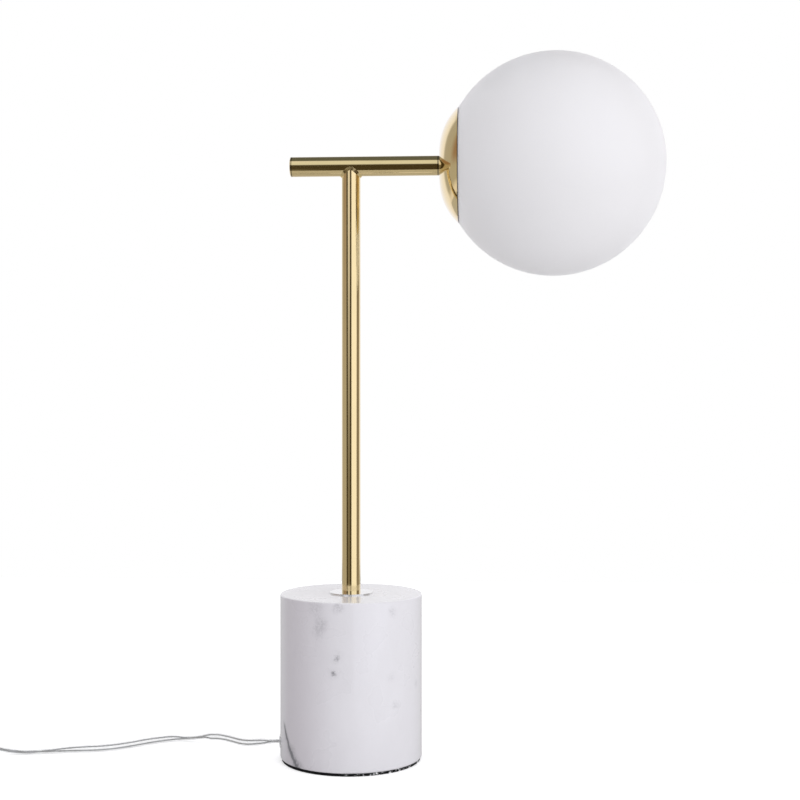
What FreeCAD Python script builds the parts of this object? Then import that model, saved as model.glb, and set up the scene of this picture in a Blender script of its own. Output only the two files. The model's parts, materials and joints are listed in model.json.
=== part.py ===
import FreeCAD, Part

import math
import os

# Glass globe table lamp: a marble cylinder carries a brass pole, a brass arm is brazed across its top,
# and a spun brass dish on the arm's end holds an opal glass globe on three leaf springs.
# Lengths are millimetres. The origin is the middle of the lamp's foot, +Z is up, +X points along the
# arm to the globe.

V = FreeCAD.Vector
CENTRE = V(0, 0, 0)
UP = V(0, 0, 1)
ALONG = V(1, 0, 0)
ACROSS = V(0, 1, 0)

# ---- base ----
MARBLE_RADIUS = 48.25
MARBLE_HEIGHT = 111.0
MARBLE_ROUND = 1.0
PAD_THICKNESS = 2.0
PAD_INSET = 1.0
RECESS_RADIUS = 17.0
RECESS_DEPTH = 30.0
TOP_DISC_RADIUS = 14.8
TOP_DISC_THICKNESS = 0.8
LARGE_WASHER_RADIUS = 14.0
LARGE_WASHER_THICKNESS = 1.5

# ---- threaded rods, nuts and washers, shared by the base and the dish ----
ROD_RADIUS = 5.0
ROD_BORE_RADIUS = 3.8
ROD_ENGAGEMENT = 14.0
ROD_BEYOND_NUT = 1.5
THREAD_CLEARANCE = 0.1
HOLE_CLEARANCE = 0.3
NUT_ACROSS_FLATS = 14.0
NUT_THICKNESS = 3.5
NUT_CHAMFER = 0.5
LOCK_WASHER_RADIUS = 8.2
LOCK_WASHER_THICKNESS = 1.0
LOCK_WASHER_SLIT = 1.0

# ---- pole and arm ----
POLE_RADIUS = 6.4
ARM_RADIUS = 6.75
ARM_HEIGHT = 404.0
ARM_BACK = 41.5
ARM_REACH = 60.2
WIRE_PORT_RADIUS = 4.6
END_CAP_THICKNESS = 1.0
END_CAP_SPIGOT = 8.0
END_CAP_EDGE = 0.3
COLLAR_THICKNESS = 0.8
BRAZE_LEG = 1.2

# ---- dish, globe and globe springs ----
DISH_FLAT_RADIUS = 10.0
DISH_RIM_RADIUS = 39.2
DISH_DEPTH = 13.0
DISH_WALL = 0.8
GLOBE_RADIUS = 75.0
GLOBE_WALL = 3.0
GLOBE_OPENING_RADIUS = 30.0
RIM_CLEARANCE = 0.4
SEAL_INNER_RADIUS = 33.0
SEAL_OUTER_RADIUS = 36.2
SEAL_CLEARANCE = 0.05
SPACER_RADIUS = 9.5
SPACER_THICKNESS = 1.0
SPRING_PLATE_RADIUS = 18.0
SPRING_PLATE_THICKNESS = 1.0
SPRING_COUNT = 3
SPRING_WIDTH = 8.0
SPRING_THICKNESS = 0.4
SPRING_FOOT_RADIUS = 11.5
SPRING_BEND_RADIUS = 20.5
SPRING_INSIDE_EDGE = 1.1
SPRING_HOOK = 1.2
SPRING_TIP_REACH = 6.8
RIVET_AT_RADIUS = 14.0
RIVET_RADIUS = 1.2
RIVET_HEAD_RADIUS = 2.2
RIVET_HEAD_THICKNESS = 0.7
RIVET_FIT = 0.05

# ---- lampholder and bulb ----
HOLDER_RADIUS = 14.0
HOLDER_NECK_RADIUS = 7.5
HOLDER_NECK_LENGTH = 4.0
HOLDER_WALL = 1.6
HOLDER_CAP_LENGTH = 14.0
HOLDER_BODY_LENGTH = 31.0
HOLDER_CORE_LENGTH = 9.0
SCREW_SHELL_RADIUS = 7.4
SCREW_SHELL_WALL = 0.35
SCREW_SHELL_LENGTH = 20.0
CONTACT_LENGTH = 2.5
CONTACT_RADIUS = 2.4
TERMINAL_SPOT = 8.0
TERMINAL_RADIUS = 1.8
TERMINAL_LENGTH = 1.5
BULB_CAP_RADIUS = 6.7
BULB_CAP_LENGTH = 18.0
BULB_TIP_LENGTH = 1.8
BULB_TIP_RADIUS = 2.2
BULB_BODY_LENGTH = 19.0
BULB_NECK_RADIUS = 9.0
BULB_WAIST_RADIUS = 13.0
BULB_SEAM_RADIUS = 20.0
BULB_RADIUS = 22.5
BULB_WALL = 1.2

# ---- cord, its way out of the base, and the wires inside ----
CORD_WIDTH = 5.4
CORD_FIT = 0.1
CORD_HOLE_RADIUS = 3.6
CORD_EXIT_HEADING = 192.0
CORD_EXIT_HEIGHT = 13.4
CORD_FIRST_RUN = 11.3
BUSH_RADIUS = 4.5
BUSH_LENGTH = 6.6
BUSH_PROUD = 0.65
GRIP_FLANGE_RADIUS = 6.0
GRIP_FLANGE_THICKNESS = 3.0
GRIP_SPIGOT_LENGTH = 6.0
WIRE_RADIUS = 1.1
WIRE_SPACING = 2.6
WIRE_BEND_RADIUS = 11.0
WIRE_BEND_STEPS = 3
WIRE_LEAN = 2.9
WIRE_LEAN_START = 20.0
WIRE_LEAN_LENGTH = 27.0
WIRE_ARM_LIFT = 3.0
WIRE_ARM_RUN = 28.0
WIRE_DROP_LENGTH = 16.0

# ---- coil of spare cord and its tie ----
COIL_CENTRE = V(-387.0, 18.0, 0)
COIL_MEAN_RADIUS = 30.25
COIL_TURNS_WIDE = 4
COIL_LAYERS = 2
COIL_PITCH = 5.5
COIL_LIFT = 0.6
COIL_ROUND = 2.2
TIE_WIDTH = 4.0
TIE_THICKNESS = 0.45
TIE_CLEARANCE = 0.1
TIE_CORNER = 1.5

# ---- in-line switch ----
SWITCH_CENTRE = V(-298.0, -15.2, 0)
SWITCH_HEADING = 188.0
SWITCH_LENGTH = 60.0
SWITCH_WIDTH = 24.0
SWITCH_END_WIDTH = 13.0
SWITCH_FLAT_LENGTH = 28.0
SWITCH_HEIGHT = 19.0
SWITCH_SPLIT = 7.0
SWITCH_WALL = 2.0
SWITCH_END_ROUND = 2.5
SWITCH_TOP_ROUND = 2.0
SWITCH_FOOT_ROUND = 1.0
SWITCH_CORD_DEPTH = 4.0
SWITCH_CORD_RUN = 18.0
SWITCH_CORD_FIT = 0.2
PIVOT_HEIGHT = 15.0
PIVOT_RADIUS = 1.5
PIVOT_CLEARANCE = 0.1
ROCKER_WIDTH = 11.0
ROCKER_REACH = 10.8
ROCKER_TOP = 5.5
ROCKER_DIP = 1.4
ROCKER_SIDE_DROP = 2.0
ROCKER_FOOT_DROP = 3.5
ROCKER_FOOT_REACH = 6.0
ROCKER_TILT = 7.0
ROCKER_CLEARANCE = 0.3
CHEEK_THICKNESS = 2.0
CHEEK_LENGTH = 12.0
CHEEK_BELOW_PIVOT = 4.0
HOUSING_SCREW_ALONG = 19.5
HOUSING_SCREW_ACROSS = 6.4
HOUSING_SCREW_RADIUS = 0.85
HOUSING_SCREW_HEAD_RADIUS = 1.9
HOUSING_SCREW_HEAD_THICKNESS = 1.0
HOUSING_SCREW_SINK = 0.4
HOUSING_SCREW_LENGTH = 12.0
HOUSING_BOSS_RADIUS = 2.3
SCREW_FIT = 0.1
STRIP_LENGTH = 13.0
STRIP_WIDTH = 2.2
STRIP_HEIGHT = 6.0
STRIP_THICKNESS = 0.8
STRIP_START = 5.0
STRIP_OFFSET = 6.0

# ---- plug ----
PLUG_TAIL_X = -352.0
PLUG_TAIL_Y = 58.8
PLUG_HEADING = 5.0
PLUG_CORD_RUN = 10.0
PLUG_HEIGHT = 13.7
PLUG_WIDTH = 34.0
PLUG_WIDEST_AT = 24.0
PLUG_LENGTH = 36.0
PLUG_FACE_WIDTH = 31.0
PLUG_FACE_HEIGHT = 12.4
PLUG_NECK_WIDTH = 12.0
PLUG_NECK_HEIGHT = 10.0
PLUG_CORNER = 4.0
RELIEF_LENGTH = 20.0
RELIEF_WIDE_RADIUS = 4.4
RELIEF_THIN_RADIUS = 3.4
RELIEF_GROOVES = 4
RELIEF_GROOVE_WIDTH = 1.2
RELIEF_GROOVE_DEPTH = 0.6
PIN_SPACING = 18.6
PIN_RADIUS = 2.0
PIN_LENGTH = 19.0
PIN_TIP = 1.0
PIN_CORE_RADIUS = 1.4
PIN_SLEEVE_LENGTH = 10.0
PIN_ROOT = 8.0
PIN_FIT = 0.05

# ---- worked out from the sizes above ----
MARBLE_TOP = PAD_THICKNESS + MARBLE_HEIGHT
RECESS_ROOF = PAD_THICKNESS + RECESS_DEPTH
POLE_FOOT = MARBLE_TOP + TOP_DISC_THICKNESS
BASE_NUT_TOP = RECESS_ROOF - LARGE_WASHER_THICKNESS - LOCK_WASHER_THICKNESS
BASE_NUT_FOOT = BASE_NUT_TOP - NUT_THICKNESS
BASE_ROD_FOOT = BASE_NUT_FOOT - ROD_BEYOND_NUT
TAPPED_RADIUS = ROD_RADIUS + THREAD_CLEARANCE
ROD_HOLE_RADIUS = ROD_RADIUS + HOLE_CLEARANCE

ARM_TUBE_END = ARM_REACH - COLLAR_THICKNESS
END_CAP_INNER = END_CAP_THICKNESS - ARM_BACK
DISH_RISE = DISH_RIM_RADIUS - DISH_FLAT_RADIUS
DISH_ARC_RADIUS = (DISH_RISE ** 2 + DISH_DEPTH ** 2) / (2 * DISH_DEPTH)
DISH_ARC_X = ARM_REACH + DISH_ARC_RADIUS
RIM_X = ARM_REACH + DISH_DEPTH
GLOBE_CLEAR_RADIUS = GLOBE_RADIUS + RIM_CLEARANCE
GLOBE_X = RIM_X + math.sqrt(GLOBE_CLEAR_RADIUS ** 2 - DISH_RIM_RADIUS ** 2)
GLOBE_INNER_RADIUS = GLOBE_RADIUS - GLOBE_WALL

SPACER_X = ARM_REACH + DISH_WALL
SPRING_PLATE_X = SPACER_X + SPACER_THICKNESS
SPRING_SEAT_X = SPRING_PLATE_X + SPRING_PLATE_THICKNESS
DISH_NUT_X = SPRING_SEAT_X + LOCK_WASHER_THICKNESS
HOLDER_X = DISH_NUT_X + NUT_THICKNESS
HOLDER_BODY_X = HOLDER_X + HOLDER_CAP_LENGTH
HOLDER_FRONT_X = HOLDER_BODY_X + HOLDER_BODY_LENGTH
CORE_FRONT_X = HOLDER_BODY_X + HOLDER_CORE_LENGTH
CONTACT_FRONT_X = CORE_FRONT_X + CONTACT_LENGTH
BULB_CAP_X = CONTACT_FRONT_X + BULB_TIP_LENGTH
BULB_BODY_X = BULB_CAP_X + BULB_CAP_LENGTH
BULB_SEAM_X = BULB_BODY_X + BULB_BODY_LENGTH
BULB_X = BULB_SEAM_X + math.sqrt(BULB_RADIUS ** 2 - BULB_SEAM_RADIUS ** 2)

CORD_RADIUS = CORD_WIDTH / 2
EXIT_TURN = math.radians(CORD_EXIT_HEADING)
EXIT_WAY = V(math.cos(EXIT_TURN), math.sin(EXIT_TURN), 0)
EXIT_REACH = MARBLE_RADIUS + BUSH_PROUD
GRIP_SEAT = math.sqrt(RECESS_RADIUS ** 2 - GRIP_FLANGE_RADIUS ** 2) - HOLE_CLEARANCE
GRIP_REACH = GRIP_SEAT - GRIP_FLANGE_THICKNESS

COIL_HALF_WIDTH = (COIL_TURNS_WIDE - 1) * COIL_PITCH / 2 + CORD_RADIUS
COIL_OUTER_RADIUS = COIL_MEAN_RADIUS + COIL_HALF_WIDTH
COIL_INNER_RADIUS = COIL_MEAN_RADIUS - COIL_HALF_WIDTH
COIL_TOP = COIL_LIFT + COIL_LAYERS * CORD_WIDTH

SWITCH_TURN = math.radians(SWITCH_HEADING)
SWITCH_WAY = V(math.cos(SWITCH_TURN), math.sin(SWITCH_TURN), 0)
SWITCH_ROOF = SWITCH_HEIGHT - SWITCH_WALL
CHEEK_ACROSS = ROCKER_WIDTH / 2 + ROCKER_CLEARANCE
PLUG_TURN = math.radians(PLUG_HEADING)
PLUG_WAY = V(math.cos(PLUG_TURN), math.sin(PLUG_TURN), 0)
PLUG_TAIL = V(PLUG_TAIL_X, PLUG_TAIL_Y, PLUG_HEIGHT / 2)
PLUG_FACE_X = RELIEF_LENGTH + PLUG_LENGTH


# ---- ways to make a shape ----
def flat_face(start, *steps):
    """Face in the XZ plane. A step is the next corner, or (a point on an arc, the next corner)."""
    edges = []
    first = V(start[0], 0, start[1])
    here = first
    for step in steps:
        if isinstance(step[0], tuple):
            over, there = (V(x, 0, z) for x, z in step)
            edges.append(Part.Arc(here, over, there).toShape())
        else:
            there = V(step[0], 0, step[1])
            edges.append(Part.makeLine(here, there))
        here = there
    if here != first:
        edges.append(Part.makeLine(here, first))
    return Part.Face(Part.Wire(edges))


def turned_up(start, *steps):
    """Solid turned about the pole's axis. Corners are (radius, height)."""
    return flat_face(start, *steps).revolve(CENTRE, UP, 360)


def turned_along(start, *steps):
    """Solid turned about the arm's axis. Corners are (x, radius)."""
    solid = flat_face(start, *steps).revolve(CENTRE, ALONG, 360)
    solid.translate(V(0, 0, ARM_HEIGHT))
    return solid


def sleeve_up(low, high, outer, inner=0.0):
    """Upright disc, washer or tube about the pole's axis."""
    solid = Part.makeCylinder(outer, high - low, V(0, 0, low))
    if inner:
        solid = solid.cut(Part.makeCylinder(inner, high - low, V(0, 0, low)))
    return solid


def sleeve_along(near, far, outer, inner=0.0):
    """Disc, washer or tube about the arm's axis."""
    solid = sleeve_up(0, far - near, outer, inner)
    return laid_along(solid, near)


def laid_along(solid, x):
    """A solid that stands on the XY plane, turned to point along the arm from x."""
    solid = solid.copy()
    solid.rotate(CENTRE, ACROSS, 90)
    solid.translate(V(x, 0, ARM_HEIGHT))
    return solid


def placed(solid, spot, heading=0):
    """A solid turned about Z by heading degrees, then moved to spot."""
    solid = solid.copy()
    solid.rotate(CENTRE, UP, heading)
    solid.translate(spot)
    return solid


def tangent_arc_middle(level, end):
    """Middle point of the arc that leaves a point parallel to the profile's first axis and meets end."""
    run = end[0] - level[0]
    drop = end[1] - level[1]
    radius = (run ** 2 + drop ** 2) / (2 * drop)
    half_turn = math.asin(run / radius) / 2
    return (level[0] + radius * math.sin(half_turn), level[1] + radius * (1 - math.cos(half_turn)))


def around_arm(solid, count):
    """Copies of a solid, evenly spaced about the arm's axis."""
    copies = []
    for k in range(count):
        turned = solid.copy()
        turned.rotate(V(0, 0, ARM_HEIGHT), ALONG, 360 * k / count)
        copies.append(turned)
    return copies


def level_rod(near, far, radius):
    """Level cylinder on the cord's way out of the base, between two distances from the pole's axis."""
    return Part.makeCylinder(radius, far - near, EXIT_WAY * near + V(0, 0, CORD_EXIT_HEIGHT), EXIT_WAY)


def hex_nut():
    """Chamfered nut that stands on the XY plane, tapped for the rod."""
    corner = NUT_ACROSS_FLATS / math.sqrt(3)
    flat = NUT_ACROSS_FLATS / 2
    turns = [math.radians(60 * k) for k in range(7)]
    outline = Part.makePolygon([V(corner * math.cos(a), corner * math.sin(a), 0) for a in turns])
    prism = Part.Face(outline).extrude(V(0, 0, NUT_THICKNESS))
    chamfered = turned_up(
        (TAPPED_RADIUS, 0),
        (flat, 0),
        (corner, NUT_CHAMFER),
        (corner, NUT_THICKNESS - NUT_CHAMFER),
        (flat, NUT_THICKNESS),
        (TAPPED_RADIUS, NUT_THICKNESS),
    )
    return prism.common(chamfered)


def lock_washer():
    """Split spring washer that stands on the XY plane."""
    ring = sleeve_up(0, LOCK_WASHER_THICKNESS, LOCK_WASHER_RADIUS, ROD_HOLE_RADIUS)
    return ring.cut(Part.makeBox(LOCK_WASHER_RADIUS, LOCK_WASHER_SLIT, LOCK_WASHER_THICKNESS))


def rounded_route(points):
    """Wire of straight runs joined by tangent arcs, each as large as its two runs allow."""
    edges = []
    radii = []
    here = points[0]
    for before, corner, after in zip(points, points[1:], points[2:]):
        came = (corner - before).normalize()
        goes = (after - corner).normalize()
        half_turn = came.getAngle(goes) / 2
        setback = 0.45 * min((corner - before).Length, (after - corner).Length)
        radius = setback / math.tan(half_turn)
        radii.append(radius)
        start = corner - came * setback
        end = corner + goes * setback
        inward = (goes - came).normalize()
        middle = corner + inward * (radius / math.cos(half_turn) - radius)
        edges.append(Part.makeLine(here, start))
        edges.append(Part.Arc(start, middle, end).toShape())
        here = end
    edges.append(Part.makeLine(here, points[-1]))
    return Part.Wire(edges), radii


def tube_along(name, points, radius):
    """Round solid along a rounded route. Prints its arc radii and compares its volume."""
    route, radii = rounded_route(points)
    section = Part.Wire(Part.makeCircle(radius, points[0], points[1] - points[0]))
    solid = route.makePipeShell([section], True, False)
    expected = math.pi * radius ** 2 * route.Length
    print(
        f"{name}: length {route.Length:.1f}, volume {solid.Volume:.1f} against {expected:.1f}, "
        f"arc radii {' '.join(f'{r:.0f}' for r in radii)}"
    )
    return solid


# ---- base ----
def foot_pad():
    return sleeve_up(0, PAD_THICKNESS, MARBLE_RADIUS - PAD_INSET)


def marble_base():
    side = MARBLE_RADIUS
    edge = MARBLE_RADIUS - MARBLE_ROUND
    inset = MARBLE_ROUND * (1 - math.sqrt(0.5))
    solid = turned_up(
        (ROD_HOLE_RADIUS, RECESS_ROOF),
        (RECESS_RADIUS, RECESS_ROOF),
        (RECESS_RADIUS, PAD_THICKNESS),
        (edge, PAD_THICKNESS),
        ((side - inset, PAD_THICKNESS + inset), (side, PAD_THICKNESS + MARBLE_ROUND)),
        (side, MARBLE_TOP - MARBLE_ROUND),
        ((side - inset, MARBLE_TOP - inset), (edge, MARBLE_TOP)),
        (ROD_HOLE_RADIUS, MARBLE_TOP),
    )
    hole = level_rod(0, EXIT_REACH, CORD_HOLE_RADIUS)
    bush_seat = level_rod(EXIT_REACH - BUSH_LENGTH, EXIT_REACH, BUSH_RADIUS + CORD_FIT)
    return solid.cut(hole).cut(bush_seat)


def cord_bush():
    near = EXIT_REACH - BUSH_LENGTH
    return level_rod(near, EXIT_REACH, BUSH_RADIUS).cut(level_rod(near, EXIT_REACH, CORD_RADIUS + CORD_FIT))


def cord_grip():
    far = RECESS_RADIUS + GRIP_SPIGOT_LENGTH
    flange = level_rod(GRIP_REACH, GRIP_SEAT, GRIP_FLANGE_RADIUS)
    spigot = level_rod(GRIP_REACH, far, CORD_HOLE_RADIUS - CORD_FIT)
    return flange.fuse(spigot).cut(level_rod(GRIP_REACH, far, CORD_RADIUS + CORD_FIT)).removeSplitter()


def inner_cord():
    return level_rod(GRIP_REACH, EXIT_REACH, CORD_RADIUS)


def top_disc():
    return sleeve_up(MARBLE_TOP, POLE_FOOT, TOP_DISC_RADIUS, ROD_HOLE_RADIUS)


def base_rod():
    return sleeve_up(BASE_ROD_FOOT, POLE_FOOT + ROD_ENGAGEMENT, ROD_RADIUS, ROD_BORE_RADIUS)


def base_washer():
    return sleeve_up(
        RECESS_ROOF - LARGE_WASHER_THICKNESS, RECESS_ROOF, LARGE_WASHER_RADIUS, ROD_HOLE_RADIUS
    )


def base_lock_washer():
    return placed(lock_washer(), UP * BASE_NUT_TOP)


def base_nut():
    return placed(hex_nut(), UP * BASE_NUT_FOOT)


# ---- pole and arm ----
def pole_tube():
    pole = sleeve_up(POLE_FOOT, ARM_HEIGHT, POLE_RADIUS, TAPPED_RADIUS)
    return pole.cut(sleeve_along(-ARM_BACK, ARM_REACH, ARM_RADIUS))


def arm_tube():
    tube = sleeve_along(END_CAP_INNER, ARM_TUBE_END, ARM_RADIUS, TAPPED_RADIUS)
    return tube.cut(sleeve_up(ARM_HEIGHT - 2 * ARM_RADIUS, ARM_HEIGHT, WIRE_PORT_RADIUS))


def joint_braze():
    """Brazing metal in the corner between the two tubes, dressed to a bevel along the saddle seam."""
    pole = sleeve_up(POLE_FOOT, ARM_HEIGHT, POLE_RADIUS)
    arm = sleeve_along(-ARM_BACK, ARM_REACH, ARM_RADIUS)
    tee = pole.fuse(arm)
    low = ARM_HEIGHT - ARM_RADIUS - BRAZE_LEG
    near = [edge for edge in tee.Edges if edge.BoundBox.ZMin > low]
    saddle = [edge for edge in near if abs(edge.CenterOfMass.x) < POLE_RADIUS]
    return tee.makeChamfer(BRAZE_LEG, saddle).cut(pole).cut(arm)


def arm_end_cap():
    face = END_CAP_INNER - END_CAP_THICKNESS
    spigot = TAPPED_RADIUS - CORD_FIT
    return turned_along(
        (face, 0),
        (face, ARM_RADIUS - END_CAP_EDGE),
        (face + END_CAP_EDGE, ARM_RADIUS),
        (END_CAP_INNER, ARM_RADIUS),
        (END_CAP_INNER, spigot),
        (END_CAP_INNER + END_CAP_SPIGOT, spigot),
        (END_CAP_INNER + END_CAP_SPIGOT, 0),
    )


def arm_collar():
    return sleeve_along(ARM_TUBE_END, ARM_REACH, ARM_RADIUS, ROD_HOLE_RADIUS)


# ---- dish and globe ----
def dish_point(radius, turn):
    """Point (x, radius) on an arc about the dish's bending centre."""
    return (DISH_ARC_X - radius * math.cos(turn), DISH_FLAT_RADIUS + radius * math.sin(turn))


def dish():
    """Spun cup, flat in the middle. Its rim is trimmed to the globe."""
    turn = math.asin(DISH_RISE / DISH_ARC_RADIUS) * 1.1
    inner = DISH_ARC_RADIUS - DISH_WALL
    cup = turned_along(
        (ARM_REACH, ROD_HOLE_RADIUS),
        (ARM_REACH, DISH_FLAT_RADIUS),
        (dish_point(DISH_ARC_RADIUS, turn / 2), dish_point(DISH_ARC_RADIUS, turn)),
        dish_point(inner, turn),
        (dish_point(inner, turn / 2), (SPACER_X, DISH_FLAT_RADIUS)),
        (SPACER_X, ROD_HOLE_RADIUS),
    )
    return cup.cut(Part.makeSphere(GLOBE_CLEAR_RADIUS, V(GLOBE_X, 0, ARM_HEIGHT)))


def glass_globe():
    mouth = GLOBE_OPENING_RADIUS
    outer_lip = GLOBE_X - math.sqrt(GLOBE_RADIUS ** 2 - mouth ** 2)
    inner_lip = GLOBE_X - math.sqrt(GLOBE_INNER_RADIUS ** 2 - mouth ** 2)
    return turned_along(
        (outer_lip, mouth),
        ((GLOBE_X, GLOBE_RADIUS), (GLOBE_X + GLOBE_RADIUS, 0)),
        (GLOBE_X + GLOBE_INNER_RADIUS, 0),
        ((GLOBE_X, GLOBE_INNER_RADIUS), (inner_lip, mouth)),
    )


def globe_seal():
    """Soft ring that fills the wedge between the dish and the globe, just inside the rim."""

    def on_globe(radius):
        return (GLOBE_X - math.sqrt((GLOBE_RADIUS + SEAL_CLEARANCE) ** 2 - radius ** 2), radius)

    def on_dish(radius):
        inner = DISH_ARC_RADIUS - DISH_WALL - SEAL_CLEARANCE
        return (DISH_ARC_X - math.sqrt(inner ** 2 - (radius - DISH_FLAT_RADIUS) ** 2), radius)

    middle = (SEAL_INNER_RADIUS + SEAL_OUTER_RADIUS) / 2
    return turned_along(
        on_globe(SEAL_INNER_RADIUS),
        (on_globe(middle), on_globe(SEAL_OUTER_RADIUS)),
        on_dish(SEAL_OUTER_RADIUS),
        (on_dish(middle), on_dish(SEAL_INNER_RADIUS)),
    )


def dish_rod():
    return sleeve_along(ARM_TUBE_END - ROD_ENGAGEMENT, HOLDER_X + ROD_BEYOND_NUT, ROD_RADIUS, ROD_BORE_RADIUS)


def dish_spacer():
    return sleeve_along(SPACER_X, SPRING_PLATE_X, SPACER_RADIUS, ROD_HOLE_RADIUS)


def rivet_holes(radius):
    """Drills through the spring plate and the springs' feet."""
    drill = Part.makeCylinder(
        radius,
        SPRING_PLATE_THICKNESS + SPRING_THICKNESS,
        V(SPRING_PLATE_X, 0, ARM_HEIGHT + RIVET_AT_RADIUS),
        ALONG,
    )
    return Part.makeCompound(around_arm(drill, SPRING_COUNT))


def spring_plate():
    plate = sleeve_along(SPRING_PLATE_X, SPRING_SEAT_X, SPRING_PLATE_RADIUS, ROD_HOLE_RADIUS)
    return plate.cut(rivet_holes(RIVET_RADIUS + RIVET_FIT))


def globe_springs():
    """Leaf springs from the plate through the globe's mouth, hooked behind its edge."""
    mouth = GLOBE_OPENING_RADIUS
    lip = GLOBE_X - math.sqrt(GLOBE_INNER_RADIUS ** 2 - mouth ** 2)
    foot_x = SPRING_SEAT_X + SPRING_THICKNESS / 2
    inside = mouth - SPRING_INSIDE_EDGE
    corners = [
        (foot_x, SPRING_FOOT_RADIUS),
        (foot_x, SPRING_BEND_RADIUS),
        (lip - GLOBE_WALL, inside - SPRING_INSIDE_EDGE),
        (lip - SPRING_THICKNESS, inside),
        (lip + SPRING_HOOK + SPRING_INSIDE_EDGE - SPRING_THICKNESS, mouth + SPRING_HOOK),
        (lip + SPRING_TIP_REACH, inside),
    ]
    route, _ = rounded_route([V(x, 0, ARM_HEIGHT + radius) for x, radius in corners])
    near = foot_x - SPRING_THICKNESS / 2
    far = foot_x + SPRING_THICKNESS / 2
    low = ARM_HEIGHT + SPRING_FOOT_RADIUS
    half = SPRING_WIDTH / 2
    section = Part.makePolygon(
        [V(near, -half, low), V(far, -half, low), V(far, half, low), V(near, half, low), V(near, -half, low)]
    )
    leaf = route.makePipeShell([section], True, False)
    holes = rivet_holes(RIVET_RADIUS + RIVET_FIT)
    return Part.makeCompound([spring.cut(holes) for spring in around_arm(leaf, SPRING_COUNT)])


def spring_rivets():
    shank_end = SPRING_SEAT_X + SPRING_THICKNESS
    axis = V(0, 0, ARM_HEIGHT + RIVET_AT_RADIUS)
    shank = Part.makeCylinder(RIVET_RADIUS, shank_end - SPRING_PLATE_X, axis + ALONG * SPRING_PLATE_X, ALONG)
    head = Part.makeCone(
        RIVET_HEAD_RADIUS, RIVET_RADIUS, RIVET_HEAD_THICKNESS, axis + ALONG * shank_end, ALONG
    )
    return Part.makeCompound(around_arm(shank.fuse(head), SPRING_COUNT))


def dish_lock_washer():
    return laid_along(lock_washer(), SPRING_SEAT_X)


def dish_nut():
    return laid_along(hex_nut(), DISH_NUT_X)


# ---- lampholder ----
def holder_cap():
    bend_x = HOLDER_X + HOLDER_NECK_LENGTH
    inner_x = bend_x + HOLDER_WALL
    inner_radius = HOLDER_RADIUS - HOLDER_WALL
    outer = tangent_arc_middle((HOLDER_BODY_X, HOLDER_RADIUS), (bend_x, HOLDER_NECK_RADIUS))
    inner = tangent_arc_middle((HOLDER_BODY_X, inner_radius), (inner_x, HOLDER_NECK_RADIUS))
    return turned_along(
        (HOLDER_X, TAPPED_RADIUS),
        (HOLDER_X, HOLDER_NECK_RADIUS),
        (bend_x, HOLDER_NECK_RADIUS),
        (outer, (HOLDER_BODY_X, HOLDER_RADIUS)),
        (HOLDER_BODY_X, inner_radius),
        (inner, (inner_x, HOLDER_NECK_RADIUS)),
        (inner_x, TAPPED_RADIUS),
    )


def holder_body():
    return sleeve_along(HOLDER_BODY_X, HOLDER_FRONT_X, HOLDER_RADIUS, HOLDER_RADIUS - HOLDER_WALL)


def holder_core():
    return sleeve_along(HOLDER_BODY_X, CORE_FRONT_X, HOLDER_RADIUS - HOLDER_WALL - CORD_FIT)


def holder_shell():
    return sleeve_along(
        CORE_FRONT_X,
        CORE_FRONT_X + SCREW_SHELL_LENGTH,
        SCREW_SHELL_RADIUS,
        SCREW_SHELL_RADIUS - SCREW_SHELL_WALL,
    )


def holder_contact():
    return sleeve_along(CORE_FRONT_X, CONTACT_FRONT_X, CONTACT_RADIUS)


def holder_screws():
    spot = V(HOLDER_BODY_X - TERMINAL_LENGTH, 0, ARM_HEIGHT + TERMINAL_SPOT)
    return Part.makeCompound(around_arm(Part.makeCylinder(TERMINAL_RADIUS, TERMINAL_LENGTH, spot, ALONG), 2))


# ---- bulb ----
def bulb_tip():
    return sleeve_along(CONTACT_FRONT_X, BULB_CAP_X, BULB_TIP_RADIUS)


def bulb_cap():
    return sleeve_along(BULB_CAP_X, BULB_BODY_X, BULB_CAP_RADIUS)


def bulb_body():
    return turned_along(
        (BULB_BODY_X, 0),
        (BULB_BODY_X, BULB_NECK_RADIUS),
        ((BULB_BODY_X + BULB_BODY_LENGTH / 2, BULB_WAIST_RADIUS), (BULB_SEAM_X, BULB_SEAM_RADIUS)),
        (BULB_SEAM_X, 0),
    )


def bulb_dome():
    inside = BULB_RADIUS - BULB_WALL
    inner_seam = math.sqrt(inside ** 2 - (BULB_X - BULB_SEAM_X) ** 2)
    return turned_along(
        (BULB_SEAM_X, inner_seam),
        (BULB_SEAM_X, BULB_SEAM_RADIUS),
        ((BULB_X, BULB_RADIUS), (BULB_X + BULB_RADIUS, 0)),
        (BULB_X + inside, 0),
        ((BULB_X, inside), (BULB_SEAM_X, inner_seam)),
    )


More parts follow.
